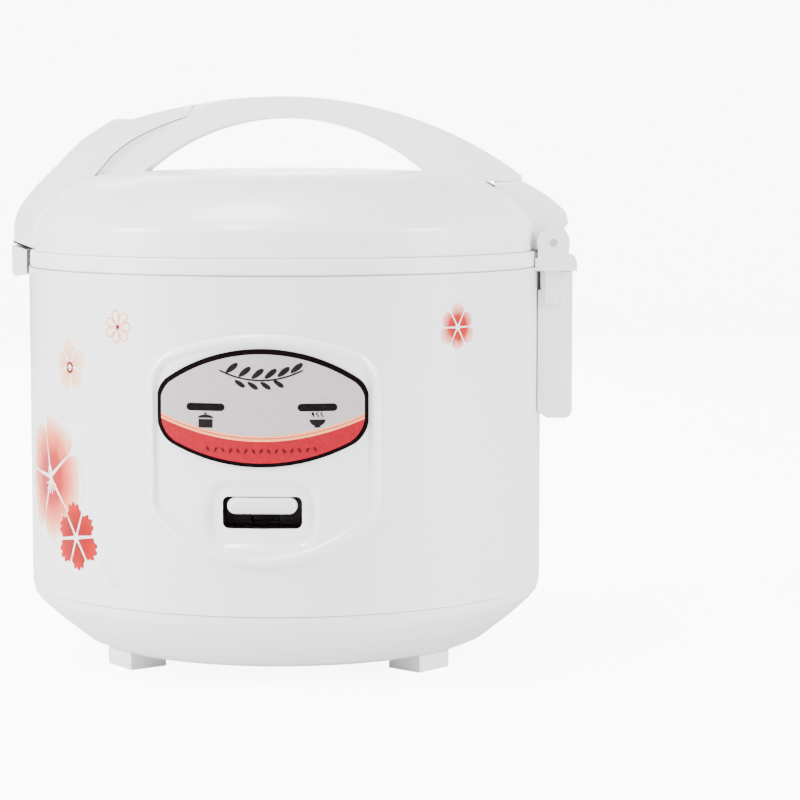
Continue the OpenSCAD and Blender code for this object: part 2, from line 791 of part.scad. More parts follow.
module lid_cover() {
    inner = [for (i = [len(dome_line) - 1:-1:0]) let (r = dome_line[i][0] * (lid_r - dome_wall) / lid_r)
        [r, dome_line[i][1] - dome_wall * (1 - pow(dome_line[i][0] / lid_r, 6))]];
    color(shell_white) difference() {
        turned(concat(dome_line, [[lid_r, lid_bottom + 0.7], [lid_r - 0.2, lid_bottom + 0.2],
            [lid_r - 0.7, lid_bottom], [lid_r - dome_wall, lid_bottom]], inner));
        box([-lid_r - past, -9.5, lid_bottom - past], [-hook_x + 5.5, 9.5, lid_bottom + 9.8]);
        valve_bore(valve_r + 0.3, skirt_top, dome_top + past);
        for (p = screw_places) post(p[0], p[1], 2.2, skirt_top, dome_top + past);
    }
}

liner_top = skirt_top - 5.5;
liner_floor = lid_bottom + 3.1;
liner_r = lid_r - dome_wall - 0.1;
module lid_liner() {
    color(trim_white) difference() {
        turned([
            [0, liner_floor], [rim_r + 4, liner_floor], [rim_r + 8, lid_bottom + 0.4],
            [liner_r, lid_bottom + 0.4], [liner_r, skirt_top - 1.2],
            [liner_r - 1.9, skirt_top - 1.2], [liner_r - 1.9, lid_bottom + 3],
            [rim_r + 9.5, lid_bottom + 3], [rim_r + 5.5, liner_top],
            [0, liner_top]]);
        valve_bore(valve_r - 4, liner_floor - past, liner_top + past);
        box([-lid_r - past, -9.5, lid_bottom - past], [-hook_x + 5.5, 9.5, skirt_top]);
        post(0, 0, 3.2, liner_floor - past, liner_top + past);
    }
}

inner_lid_r = rim_r - 5;
inner_lid_z = rim_top + 2.6;
module inner_lid() {
    steam_holes = 5;
    color([0.78, 0.78, 0.8]) difference() {
        turned([
            [0, inner_lid_z - 0.6], [60, inner_lid_z - 0.6], [64, inner_lid_z], [inner_lid_r, inner_lid_z],
            [inner_lid_r, inner_lid_z + 1], [63.6, inner_lid_z + 1], [59.6, inner_lid_z + 0.4],
            [0, inner_lid_z + 0.4]]);
        for (i = [0:steam_holes - 1]) let (a = 64 + (i - 2) * 7)
            post(72 * cos(a), 72 * sin(a), 2, inner_lid_z - 3, inner_lid_z + 3);
        post(0, 0, 3.2, inner_lid_z - 3, inner_lid_z + 3);
    }
}

module inner_lid_seal() {
    color(silicone) turned([
        [inner_lid_r + 0.1, rim_top + run_gap + 0.6], [inner_lid_r + 1.6, rim_top + run_gap],
        [rim_r, rim_top + run_gap], [rim_r + 1.6, rim_top + run_gap + 1],
        [rim_r + 1.6, liner_floor - 0.2], [inner_lid_r + 0.1, liner_floor - 0.2]]);
}

module inner_lid_grommet() {
    color(silicone) turned([
        [0, inner_lid_z - 3], [3, inner_lid_z - 3], [6, inner_lid_z - 2], [7, inner_lid_z - 0.7],
        [3, inner_lid_z - 0.7], [3, liner_top + 0.2], [5, liner_top + 0.2], [4, liner_top + 2.4],
        [0, liner_top + 2.4]]);
}

module steam_valve_base() {
    color(trim_white) translate([valve_x, valve_y, 0]) turned([
        [valve_r - 4.5, liner_top + 0.1], [valve_r, liner_top + 0.1], [valve_r, dome_top - 4.2],
        [valve_r - 1.6, dome_top - 4.2], [valve_r - 1.6, liner_top + 2], [valve_r - 4.5, liner_top + 2]]);
}

module steam_valve_cap() {
    cap_top = dome_top - 1.2;
    color(trim_white) translate([valve_x, valve_y, 0]) difference() {
        turned([
            [0, cap_top - 2.6], [valve_r - 4, cap_top - 2.6], [valve_r - 4, cap_top - 16],
            [valve_r - 2.8, cap_top - 16], [valve_r - 2.8, cap_top - 2.8], [valve_r - 0.2, cap_top - 1.9],
            [valve_r - 0.2, cap_top - 0.9], [valve_r - 1.4, cap_top], [0, cap_top]]);
        for (x = [-5, 0, 5]) box([x - 1, -6, cap_top - 4], [x + 1, 6, cap_top + past]);
    }
}

// ---- Handle and the covers at its two ends ----

// Radius of a circle that falls by the given drop at the distance x from its top
function fall_r(x, drop) = (x * x + drop * drop) / (2 * drop);

nose_tip_x = body_r - 83.5;
nose_step_x = body_r - 47;
seam_x = body_r - 9.4;
handle_seam_z = dome_top - 6.2;
window_top = handle_top - grip_t;
window_r = fall_r(body_r - 60, window_top - dome_top);
arch_right_r = fall_r(seam_x, handle_top - handle_seam_z - 0.4);
arch_left_r = fall_r(nose_step_x, 13.1);

// Top line of the handle, right of x = 0 and left of it
function arch_z(x) = handle_top - sag(x > 0 ? arch_right_r : arch_left_r, abs(x));

// Lower line of the nose cover, from the lid up to the cover's tip on the handle
nose_seam = [[-body_r + 34.7, dome_top - 2], [-body_r + 41.4, dome_top + 7.6],
    [-body_r + 51, dome_top + 15.3], [-body_r + 65.3, dome_top + 21], [-nose_tip_x, dome_top + 25.8]];

module handle_outline() {
    right = [for (i = [0:24]) let (x = seam_x * i / 24) [x, arch_z(x)]];
    left = [for (i = [0:10]) let (x = -nose_tip_x * (10 - i) / 10) [x, arch_z(x)]];
    difference() {
        polygon(concat(nose_seam, left, right,
            [[seam_x, handle_seam_z], [lid_r - 30, handle_seam_z], [lid_r - 40, dome_top - 30],
            [-body_r + 50, dome_top - 30],
            [-body_r + 34.7, dome_top - 16]]));
        translate([0, window_top - window_r]) circle(r = window_r, $fn = 180);
    }
}

module handle() {
    color(shell_white) difference() {
        across(handle_w) intersection() {
            handle_outline();
            translate([-body_r, dome_top - 30]) square([2 * body_r, 90]);
        }
        lid_volume();
        for (p = screw_places) post(p[0], p[1], 1.8, 200, dome_top + 8);
    }
}

screw_places = [for (x = [-body_r + 43, body_r - 39]) for (y = [-8, 8]) [x, y]];
module handle_screws() {
    color(steel) for (p = screw_places) {
        seat = dome_z(norm(p)) - dome_wall - 0.4;
        post(p[0], p[1], 1.7, seat - 1, dome_top + 7);
        post(p[0], p[1], 3.6, seat - 3, seat - 0.6);
    }
}

module nose_cover() {
    left = [for (i = [0:8]) let (x = -nose_tip_x - (nose_step_x - nose_tip_x) * i / 8) [x, arch_z(x)]];
    shell = [[-nose_step_x - 2, arch_z(-nose_step_x - 2) + 2.2], [-body_r + 35, dome_top + 20],
        [-body_r + 25, dome_top + 14.4], [-body_r + 19.5, dome_top + 8.4], [-body_r + 9.5, dome_top - 1.6],
        [-body_r + 1, dome_top - 12.6], [-body_r - 5, dome_top - 20], [-body_r - 6.6, dome_top - 23.8],
        [-body_r - 7.7, dome_top - 30], [-body_r - 7.7, lid_bottom + 3.6], [-lid_r, lid_bottom + 0.2],
        [-lid_r + 4, lid_bottom + 0.2], [-body_r + 24, dome_top - 20]];
    color(shell_white) difference() {
        across(handle_w + 4) polygon(concat([for (i = [len(nose_seam) - 1:-1:0]) nose_seam[i] + [-0.2, 0.3]],
            [for (i = [len(shell) - 1:-1:0]) shell[i]], [for (i = [8:-1:0]) left[i]]));
        lid_volume();
    }
}

module hinge_cover() {
    color(shell_white) difference() {
        union() {
            difference() {
                across(2 * ear_in - 0.8) polygon([
                    [seam_x - 14, handle_seam_z - 0.6], [seam_x, handle_seam_z - 0.6],
                    [body_r + 1.5, dome_top - 13], [body_r + 8, dome_top - 18],
                    [body_r + 12, dome_top - 21.6],
                    [body_r + 13.4, hinge_z + 9.8], [body_r + 12.6, hinge_z + 8.2],
                    [hinge_x, hinge_z + knuckle_r], [hinge_x, hinge_z - 3.2], [lid_r - 6, hinge_z - 3.2],
                    [body_r - 22, dome_top - 10]]);
                lid_volume();
            }
            bar_y(hinge_x, hinge_z, knuckle_r, 2 * ear_in - 0.8);
        }
        bar_y(hinge_x, hinge_z, pin_r + pin_clear, 2 * ear_out);
        bar_y(hinge_x, hinge_z, knuckle_r + 0.8, 16);
    }
}

// ---- Latch ----

module lid_keeper() {
    color(steel) {
        box([-hook_x + 4, -8, lid_bottom + 3.1], [-hook_x + 6, 8, lid_bottom + 9.4]);
        box([-hook_x + 5, -8, lid_bottom + 3.1], [-hook_x + 10.4, 8, lid_bottom + 4.1]);
    }
}

module release_button() {
    color(shell_white) difference() {
        union() {
            difference() {
                across(button_w) polygon([[-button_out, lid_bottom + 1.8], [-button_in + 8, lid_bottom - 2.9],
                    [-button_in + 8, ring_top - 11.4], [-button_out + 1.4, ring_top - 13.4],
                    [-button_out, ring_top - 11.6]]);
                cylinder(r = button_in, h = 300, $fn = 180);
            }
            box([-button_in - 1.5, -9, ring_top - 6.4], [-hook_x, 9, ring_top - 2.2]);
            bar_y(-hook_x, latch_z, 3, 18);
        }
        bar_y(-hook_x, latch_z, latch_pin_r + pin_clear, 40);
        box([-hook_x - 0.9, -7.1, latch_z + 2], [-hook_x + 0.9, 7.1, ring_top + past]);
    }
}

module latch_hook() {
    color(steel) {
        box([-hook_x - 0.9, -7, latch_z + 2.1], [-hook_x + 0.9, 7, lid_bottom + 9]);
        box([-hook_x, -7, lid_bottom + 7.2], [-hook_x + 3.6, 7, lid_bottom + 9]);
    }
}

module latch_pin() {
    color(steel) bar_y(-hook_x, latch_z, latch_pin_r, 2 * pocket_half_w + 6);
}

module latch_spring() {
    color(steel) translate([-hook_x, pocket_half_w - 0.4, latch_z]) rotate([90, 0, 0])
        spring(2.3, 0.35, 4.2, 4);
}

// ---- Inner pot ----

module inner_pot() {
    flat_r = pot_r - pot_bend_r;
    bend_z = pot_floor + pot_bend_r;
    inner_bend = pot_bend_r - pot_wall;
    color(dark) turned(concat(
        [[0, pot_floor]],
        arc(flat_r, bend_z, pot_bend_r, -90, 0, 16),
        [[pot_r, rim_top - 7], [pot_r + 0.5, rim_top - 4.6], [pot_r + 2.4, rim_top - 2.8],
        [rim_r - 1.4, rim_top - 2.6]],
        arc(rim_r - 1.3, rim_top - 1.3, 1.3, -80, 90, 6),
        [[pot_r + 2.6, rim_top - 0.8], [pot_r - 0.6, rim_top - 2.6], [pot_r - pot_wall, rim_top - 6.4]],
        arc(flat_r, bend_z, inner_bend, 0, -90, 16),
        [[0, pot_floor + pot_wall]]));
}

// ---- Assembly ----

base_pan();
foot(-1, -1);  // foot_front_left
foot(1, -1);  // foot_front_right
foot(-1, 1);  // foot_rear_left
foot(1, 1);  // foot_rear_right
base_screws();
chamber_posts();
outer_sleeve();
top_ring();
inner_shell();
heating_plate();
heater_terminals();
plate_legs();
thermostat_tube();
lever_bracket();
lever_pin();
contact_block();
keep_warm_thermostat();
thermal_fuse();
front_bezel();
panel_frame();
fascia_plate();
lamp_lenses();
lamp_board();
indicator_lamps();
switch_shroud();
inlet_housing();
inlet_pins();
internal_wires();
hinge_bracket();
hinge_screws();
hinge_pin();
lid_spring();
latch_spring();
magnet_spring();
sensor_spring();
lid_cover();
lid_liner();
inner_lid();
inner_lid_seal();
inner_lid_grommet();
handle();
nose_cover();
hinge_cover();
lid_keeper();
handle_screws();
steam_valve_base();
steam_valve_cap();
release_button();
latch_hook();
latch_pin();
cook_lever();
cook_key();
key_link();
lower_magnet();
magnet_rod();
sensor_cap();
upper_magnet();
inner_pot();
dew_collector();
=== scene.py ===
"""Looks for the rice cooker: finer shells, printed flowers, panel graphics, materials, light and camera."""
import math

import bmesh
import bpy
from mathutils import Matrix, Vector


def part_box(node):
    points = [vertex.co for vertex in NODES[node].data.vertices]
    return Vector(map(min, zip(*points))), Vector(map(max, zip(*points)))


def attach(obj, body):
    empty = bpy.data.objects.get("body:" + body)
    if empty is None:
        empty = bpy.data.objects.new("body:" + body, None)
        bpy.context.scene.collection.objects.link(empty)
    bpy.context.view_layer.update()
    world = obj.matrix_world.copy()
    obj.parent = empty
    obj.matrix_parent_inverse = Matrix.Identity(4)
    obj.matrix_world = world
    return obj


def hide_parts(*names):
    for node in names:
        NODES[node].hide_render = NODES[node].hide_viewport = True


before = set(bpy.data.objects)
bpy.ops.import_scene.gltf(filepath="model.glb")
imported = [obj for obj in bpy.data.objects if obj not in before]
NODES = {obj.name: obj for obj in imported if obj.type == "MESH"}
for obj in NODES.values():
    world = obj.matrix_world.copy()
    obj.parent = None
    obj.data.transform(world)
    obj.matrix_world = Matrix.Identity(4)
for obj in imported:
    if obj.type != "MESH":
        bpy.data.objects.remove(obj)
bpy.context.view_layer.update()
MM = 0.001


# ---- Sizes that the frame gives, in millimetres ----

def low(node):
    """The lower corner of a CAD node's box."""
    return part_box(node)[0] / MM


def high(node):
    """The upper corner of a CAD node's box."""
    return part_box(node)[1] / MM


BODY_R = high("outer_sleeve").x
BEZEL_R = -low("front_bezel").y
LID_R = high("lid_cover").x
LID_BOTTOM = low("lid_cover").z
DOME_TOP = high("lid_cover").z
HANDLE_TOP = high("handle").z
DOME_H = 28.3
SKIRT_TOP = DOME_TOP - DOME_H
SLOT_HALF_W = 18.2
SLOT_HALF_H = 7.35
SLOT_Z = 85.2
FASCIA_Z = (low("lamp_lenses").z + high("lamp_lenses").z) / 2


# ---- Camera and light ----

def make_camera(azimuth, distance, height, axis_x, horizon_y, focal):
    """Camera round the Z axis, in degrees and metres.

    axis_x and horizon_y are where the axis and the horizon fall, as shares of the frame.
    """
    data = bpy.data.cameras.new("camera")
    cam = bpy.data.objects.new("camera", data)
    bpy.context.scene.collection.objects.link(cam)
    a = math.radians(azimuth)
    cam.location = Vector((math.sin(a), -math.cos(a), 0)) * distance + Vector((0, 0, height))
    yaw = math.atan((0.5 - axis_x) / focal)
    pitch = math.atan((0.5 - horizon_y) / focal)
    cam.rotation_euler = (math.pi / 2 - pitch, 0, a - yaw)
    data.sensor_width = 36
    data.lens = focal * data.sensor_width
    data.clip_start = 0.01
    data.clip_end = 50
    bpy.context.scene.camera = cam


make_camera(azimuth=5.1, distance=1.328, height=0.252, axis_x=286 / 800, horizon_y=145 / 800, focal=3.321)


def area_light(name, location, target, size, power):
    """A white soft box; places and sizes in metres, power in watts."""
    data = bpy.data.lights.new(name, "AREA")
    data.shape = "RECTANGLE"
    data.size = size[0]
    data.size_y = size[1]
    data.energy = power
    lamp = bpy.data.objects.new(name, data)
    bpy.context.scene.collection.objects.link(lamp)
    lamp.location = location
    aim = Vector(target) - Vector(location)
    lamp.rotation_euler = aim.to_track_quat("-Z", "Y").to_euler()


area_light("left_box", (-1.9, -0.75, 0.8), (0, 0, 0.12), (0.6, 1.2), 96)
area_light("right_box", (1.9, -0.6, 0.8), (0, 0, 0.12), (0.6, 1.2), 66)
area_light("top_light", (-0.3, -0.2, 1.8), (0, 0, 0.1), (0.7, 0.7), 36)
area_light("front_light", (-0.5, -1.2, 1.9), (0, 0, 0.12), (0.4, 0.4), 22)
area_light("rim_light", (-0.3, 1.7, 0.9), (0, 0, 0.15), (1.0, 0.9), 28)

world = bpy.data.worlds.new("studio")
bpy.context.scene.world = world
world.use_nodes = True
world.node_tree.nodes["Background"].inputs["Color"].default_value = (1, 1, 1, 1)
world.node_tree.nodes["Background"].inputs["Strength"].default_value = 0.14


# ---- Materials ----

def new_material(name, colour, rough, metal=0.0, coat=0.0, coat_rough=0.1):
    """A material with its node tree and its shader."""
    mat = bpy.data.materials.new(name)
    mat.use_nodes = True
    bsdf = mat.node_tree.nodes["Principled BSDF"]
    bsdf.inputs["Base Color"].default_value = (*colour, 1)
    bsdf.inputs["Roughness"].default_value = rough
    bsdf.inputs["Metallic"].default_value = metal
    bsdf.inputs["Coat Weight"].default_value = coat
    bsdf.inputs["Coat Roughness"].default_value = coat_rough
    bsdf.inputs["IOR"].default_value = 1.5
    return mat, mat.node_tree, bsdf


def noise_at(tree, scale, detail=2.0, stretch=(1, 1, 1)):
    """A noise texture in object space; scale is in cells per metre."""
    coords = tree.nodes.new("ShaderNodeTexCoord")
    mapping = tree.nodes.new("ShaderNodeMapping")
    mapping.inputs["Scale"].default_value = stretch
    tex = tree.nodes.new("ShaderNodeTexNoise")
    tex.inputs["Scale"].default_value = scale
    tex.inputs["Detail"].default_value = detail
    tree.links.new(coords.outputs["Object"], mapping.inputs["Vector"])
    tree.links.new(mapping.outputs["Vector"], tex.inputs["Vector"])
    return tex


def ramp(tree, source, stops):
    """A colour ramp over a value, from stops of (place, colour)."""
    node = tree.nodes.new("ShaderNodeValToRGB")
    while len(node.color_ramp.elements) > 1:
        node.color_ramp.elements.remove(node.color_ramp.elements[-1])
    first = node.color_ramp.elements[0]
    first.position = stops[0][0]
    first.color = (*stops[0][1], 1)
    for place, colour in stops[1:]:
        node.color_ramp.elements.new(place).color = (*colour, 1)
    tree.links.new(source, node.inputs["Fac"])
    return node


def vary(tree, bsdf, socket, tex, low_value, high_value):
    """Lets a texture move one shader socket between two values."""
    span = tree.nodes.new("ShaderNodeMapRange")
    span.inputs["From Min"].default_value = 0.3
    span.inputs["From Max"].default_value = 0.7
    span.inputs["To Min"].default_value = low_value
    span.inputs["To Max"].default_value = high_value
    tree.links.new(tex.outputs["Fac"], span.inputs["Value"])
    tree.links.new(span.outputs["Result"], bsdf.inputs[socket])


def bump(tree, bsdf, tex, strength, depth):
    """Surface relief from a texture; depth in metres."""
    node = tree.nodes.new("ShaderNodeBump")
    node.inputs["Strength"].default_value = strength
    node.inputs["Distance"].default_value = depth
    tree.links.new(tex.outputs["Fac"], node.inputs["Height"])
    tree.links.new(node.outputs["Normal"], bsdf.inputs["Normal"])


def shade(colour, factor):
    return tuple(min(1.0, c * factor) for c in colour)


def moulded(name, colour, rough=0.3, coat=0.0, grain=2600.0, depth=0.00002, spread=0.05, specular=0.5):
    """Moulded plastic: faint flow marks in the colour, uneven gloss and a fine surface grain."""
    mat, tree, bsdf = new_material(name, colour, rough, coat=coat)
    bsdf.inputs["Specular IOR Level"].default_value = specular
    flow = noise_at(tree, 14.0, 3.0, (1, 1, 0.5))
    tint = ramp(tree, flow.outputs["Fac"], [(0.3, shade(colour, 0.975)), (0.7, shade(colour, 1.01))])
    tree.links.new(tint.outputs["Color"], bsdf.inputs["Base Color"])
    vary(tree, bsdf, "Roughness", noise_at(tree, 60.0, 4.0), rough - spread, rough + spread)
    bump(tree, bsdf, noise_at(tree, grain, 2.0), 0.25, depth)
    return mat


def painted(name, colour):
    """Sprayed enamel on sheet: a soft orange peel under a clear gloss."""
    rough = 0.22
    mat, tree, bsdf = new_material(name, colour, rough, coat=0.4, coat_rough=0.08)
    cloud = noise_at(tree, 9.0, 2.0)
    tint = ramp(tree, cloud.outputs["Fac"], [(0.3, shade(colour, 0.985)), (0.7, shade(colour, 1.0))])
    tree.links.new(tint.outputs["Color"], bsdf.inputs["Base Color"])
    vary(tree, bsdf, "Roughness", noise_at(tree, 90.0, 3.0), rough - 0.04, rough + 0.04)
    bump(tree, bsdf, noise_at(tree, 520.0, 1.0), 0.12, 0.00003)
    return mat


def metal(name, colour, rough=0.3, stretch=(1, 1, 1), scale=400.0, depth=0.00002):
    """Bare metal: drawn or brushed streaks where stretch is uneven, and patchy dulling."""
    mat, tree, bsdf = new_material(name, colour, rough, metal=1.0)
    streak = noise_at(tree, scale, 4.0, stretch)
    tint = ramp(tree, streak.outputs["Fac"], [(0.25, shade(colour, 0.86)), (0.75, shade(colour, 1.08))])
    tree.links.new(tint.outputs["Color"], bsdf.inputs["Base Color"])
    vary(tree, bsdf, "Roughness", noise_at(tree, 45.0, 5.0), rough - 0.07, rough + 0.1)
    bump(tree, bsdf, streak, 0.3, depth)
    return mat


def speckled(name):
    """Non-stick coating: charcoal with fine pale flecks and a slight sheen."""
    base = (0.013, 0.0135, 0.015)
    mat, tree, bsdf = new_material(name, base, 0.42)
    bsdf.inputs["Specular IOR Level"].default_value = 0.3
    coords = tree.nodes.new("ShaderNodeTexCoord")
    cells = tree.nodes.new("ShaderNodeTexVoronoi")
    cells.inputs["Scale"].default_value = 620.0
    tree.links.new(coords.outputs["Object"], cells.inputs["Vector"])
    flecks = ramp(tree, cells.outputs["Distance"], [(0.1, (0.08, 0.08, 0.085)), (0.2, base)])
    tree.links.new(flecks.outputs["Color"], bsdf.inputs["Base Color"])
    vary(tree, bsdf, "Roughness", noise_at(tree, 120.0, 4.0), 0.36, 0.5)
    bump(tree, bsdf, noise_at(tree, 1800.0, 2.0), 0.35, 0.00003)
    return mat


def printed(name, colour, rough=0.25, mottled=0.05):
    """Printing ink: a fine screen mottle and hardly any gloss."""
    mat, tree, bsdf = new_material(name, colour, rough)
    bsdf.inputs["Specular IOR Level"].default_value = 0.12
    tex = noise_at(tree, 700.0, 2.0)
    stops = [(0.3, shade(colour, 1 - mottled)), (0.7, shade(colour, 1 + mottled))]
    tint = ramp(tree, tex.outputs["Fac"], stops)
    tree.links.new(tint.outputs["Color"], bsdf.inputs["Base Color"])
    vary(tree, bsdf, "Roughness", noise_at(tree, 150.0), rough - 0.04, rough + 0.04)
    return mat


def petal_print(name, stops):
    """Ink that fades from the flower's middle to its tips; the UV map counts in flower radii."""
    mat, tree, bsdf = new_material(name, stops[0][1], 0.25)
    bsdf.inputs["Specular IOR Level"].default_value = 0.12
    uv = tree.nodes.new("ShaderNodeUVMap")
    uv.uv_map = "flower"
    span = tree.nodes.new("ShaderNodeVectorMath")
    span.operation = "LENGTH"
    tree.links.new(uv.outputs["UV"], span.inputs[0])
    veins = noise_at(tree, 420.0, 3.0, (1, 1, 0.35))
    blend = tree.nodes.new("ShaderNodeMath")
    blend.operation = "MULTIPLY_ADD"
    blend.inputs[1].default_value = 0.22
    tree.links.new(veins.outputs["Fac"], blend.inputs[0])
    tree.links.new(span.outputs["Value"], blend.inputs[2])
    tint = ramp(tree, blend.outputs["Value"], stops)
    tree.links.new(tint.outputs["Color"], bsdf.inputs["Base Color"])
    return mat


def rubber(name, colour):
    """Soft rubber or wire covering: a little light passes under its dull skin."""
    mat, tree, bsdf = new_material(name, colour, 0.45)
    bsdf.inputs["Subsurface Weight"].default_value = 0.15
    bsdf.inputs["Subsurface Radius"].default_value = (0.004, 0.004, 0.004)
    vary(tree, bsdf, "Roughness", noise_at(tree, 200.0, 3.0), 0.38, 0.55)
    bump(tree, bsdf, noise_at(tree, 1200.0), 0.2, 0.00003)
    return mat


WHITE = (0.86, 0.86, 0.87)
MATS = {
    "shell": moulded("shell_white", WHITE, 0.28, coat=0.15),
    "sleeve": painted("sleeve_enamel", (0.83, 0.83, 0.84)),
    "trim": moulded("trim_white", (0.84, 0.84, 0.85), 0.32),
    "base": moulded("base_satin", (0.8, 0.8, 0.81), 0.42, grain=1500.0),
    "panel": moulded("panel_gloss", (0.88, 0.88, 0.885), 0.16, coat=0.5, spread=0.03),
    "black": moulded("panel_black", (0.003, 0.001, 0.0015), 0.3, specular=0.03),
    # Dark plastic for the dark parts inside; the same material also paints the shade in the latch's gaps.
    "dark": moulded("dark_plastic", (0.016, 0.006, 0.007), 0.45, grain=1500.0, specular=0.2),
    "key": moulded("key_pearl", (0.74, 0.72, 0.72), 0.25, coat=0.3, spread=0.03),
    "silver": printed("label_silver", (0.4, 0.365, 0.38), 0.3, 0.05),
    "band": printed("label_band", (0.3, 0.003, 0.014), 0.28),
    "peach": printed("label_peach", (0.88, 0.3, 0.15), 0.3),
    "copper": printed("label_copper", (0.5, 0.1, 0.04), 0.3),
    "ink": printed("label_ink", (0.006, 0.004, 0.005), 0.3, 0.02),
    "grain_ink": printed("label_grain_ink", (0.07, 0.003, 0.006), 0.3),
    "lens": moulded("lens_black", (0.003, 0.002, 0.002), 0.15, specular=0.08),
    "board": moulded("fibre_board", (0.35, 0.22, 0.09), 0.55),
    "plated": metal("zinc_plate", (0.62, 0.63, 0.66), 0.32),
    "spring": metal("spring_wire", (0.5, 0.51, 0.53), 0.28, (1, 1, 0.2)),
    "well": metal("well_sheet", (0.74, 0.75, 0.76), 0.3, (1, 1, 0.06), 260.0),
    "cast": metal("heater_casting", (0.62, 0.63, 0.64), 0.42, scale=900.0, depth=0.00006),
    "cap": metal("sensor_cap", (0.76, 0.76, 0.78), 0.26),
    "lid_alu": metal("inner_lid_sheet", (0.78, 0.79, 0.8), 0.3, (1, 0.05, 1), 500.0),
    "ferrite": moulded("ferrite", (0.03, 0.03, 0.033), 0.6, depth=0.00005),
    "brass": metal("brass_pin", (0.75, 0.55, 0.25), 0.25),
    "wire": rubber("wire_cover", (0.35, 0.08, 0.06)),
    "seal": rubber("silicone_seal", (0.74, 0.74, 0.72)),
    # Grey joint over the sleeve, whose grey also paints the seam's shadow line.
    "joint": rubber("joint_grey_seam_shade", (0.2, 0.2, 0.21)),
    "pot": speckled("nonstick_coat"),
    "flower_pale": petal_print("flower_pale", [(0.1, (0.82, 0.26, 0.16)), (0.5, (0.84, 0.42, 0.28)),
                                               (1.1, (0.86, 0.6, 0.46))]),
    "flower_big": petal_print("flower_big", [(0.14, (0.28, 0.001, 0.001)), (0.45, (0.42, 0.004, 0.003)),
                                             (0.74, (0.76, 0.16, 0.09)), (0.96, (0.83, 0.5, 0.38)),
                                             (1.14, (0.84, 0.76, 0.72))]),
    "flower_red": petal_print("flower_red", [(0.1, (0.2, 0.001, 0.001)), (0.75, (0.32, 0.001, 0.001)),
                                             (1.1, (0.46, 0.004, 0.003))]),
    "flower_soft": petal_print("flower_soft", [(0.15, (0.26, 0.001, 0.001)), (0.6, (0.46, 0.01, 0.008)),
                                               (1.1, (0.84, 0.45, 0.38))]),
    "outline": printed("flower_outline", (0.82, 0.6, 0.5), 0.25, 0.03),
    "blossom": printed("blossom_outline", (0.78, 0.3, 0.16), 0.25, 0.03),
    "blush": printed("blossom_blush", (0.88, 0.76, 0.69), 0.25, 0.03),
    "stamen": printed("flower_stamen", (0.88, 0.8, 0.74), 0.25, 0.03),
    "flower_eye": printed("flower_eye", (0.16, 0.012, 0.012), 0.25),
    "flower_dark": printed("flower_dark", (0.16, 0.004, 0.006), 0.25),
}

CAD_LOOKS = {
    "sleeve": ["outer_sleeve"],
    "shell": ["lid_cover", "release_button", "dew_collector"],
    "trim": ["top_ring", "hinge_bracket", "lid_liner", "steam_valve_base", "steam_valve_cap"],
    "base": ["base_pan", "foot_front_left", "foot_front_right", "foot_rear_left", "foot_rear_right"],
    "dark": ["switch_shroud", "inlet_housing", "contact_block", "keep_warm_thermostat", "key_link"],
    "well": ["inner_shell"],
    "cast": ["heating_plate"],
    "cap": ["sensor_cap"],
    "lid_alu": ["inner_lid"],
    "ferrite": ["lower_magnet", "upper_magnet"],
    "brass": ["inlet_pins"],
    "wire": ["internal_wires"],
    "seal": ["inner_lid_seal", "inner_lid_grommet"],
    "board": ["lamp_board"],
    "pot": ["inner_pot"],
    "spring": ["lid_spring", "latch_spring", "magnet_spring", "sensor_spring"],
    "plated": ["base_screws", "chamber_posts", "heater_terminals", "plate_legs", "thermostat_tube",
               "lever_bracket", "lever_pin", "thermal_fuse", "hinge_screws", "hinge_pin", "lid_keeper",
               "handle_screws", "latch_hook", "latch_pin", "cook_lever", "magnet_rod"],
}


def soften(obj, width):
    """Rounds the sharp edges of a CAD node with modifiers; its vertices stay as they are."""
    weld = obj.modifiers.new("weld", "WELD")
    weld.merge_threshold = 0.000002
    bevel = obj.modifiers.new("bevel", "BEVEL")
    bevel.width = width * MM
    bevel.segments = 3
    bevel.limit_method = "ANGLE"
    bevel.angle_limit = math.radians(35)
    bevel.harden_normals = True


SOFTENED = {"foot_front_left": 1.5, "foot_front_right": 1.5, "foot_rear_left": 1.5, "foot_rear_right": 1.5,
            "release_button": 0.8, "dew_collector": 0.7, "hinge_bracket": 0.6}

for look, names in CAD_LOOKS.items():
    for node_name in names:
        node = NODES[node_name]
        node.data.materials.clear()
        node.data.materials.append(MATS[look])
for node_name, width in SOFTENED.items():
    soften(NODES[node_name], width)


# ---- Mesh helpers ----

def finish_mesh(name, bm, look, body, slot, smooth_angle=35.0):
    """Turns a bmesh into a piece with its material and the body it rides on; its slot is not used."""
    bmesh.ops.remove_doubles(bm, verts=bm.verts, dist=0.000001)
    bmesh.ops.recalc_face_normals(bm, faces=bm.faces)
    mesh = bpy.data.meshes.new(name)
    bm.to_mesh(mesh)
    bm.free()
    obj = bpy.data.objects.new(name, mesh)
    bpy.context.scene.collection.objects.link(obj)
    mesh.materials.append(MATS[look])
    mesh.shade_smooth()
    mesh.set_sharp_from_angle(angle=math.radians(smooth_angle))
    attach(obj, body)
    return obj


def solid_from(bm, name):
    """A bare object for a boolean, in no body; the caller removes it."""
    bmesh.ops.recalc_face_normals(bm, faces=bm.faces)
    mesh = bpy.data.meshes.new(name)
    bm.to_mesh(mesh)
    bm.free()
    obj = bpy.data.objects.new(name, mesh)
    bpy.context.scene.collection.objects.link(obj)
    return obj


def cut(obj, cutter_bm):
    """Takes the cutter's volume out of obj and applies the result to its mesh."""
    cutter = solid_from(cutter_bm, "cutter")
    mod = obj.modifiers.new("cut", "BOOLEAN")
    mod.operation = "DIFFERENCE"
    mod.solver = "EXACT"
    mod.object = cutter
    bpy.context.view_layer.update()
    result = bpy.data.meshes.new_from_object(obj.evaluated_get(bpy.context.evaluated_depsgraph_get()))
    obj.modifiers.clear()
    old = obj.data
    obj.data = result
    bpy.data.meshes.remove(old)
    bpy.data.objects.remove(cutter)


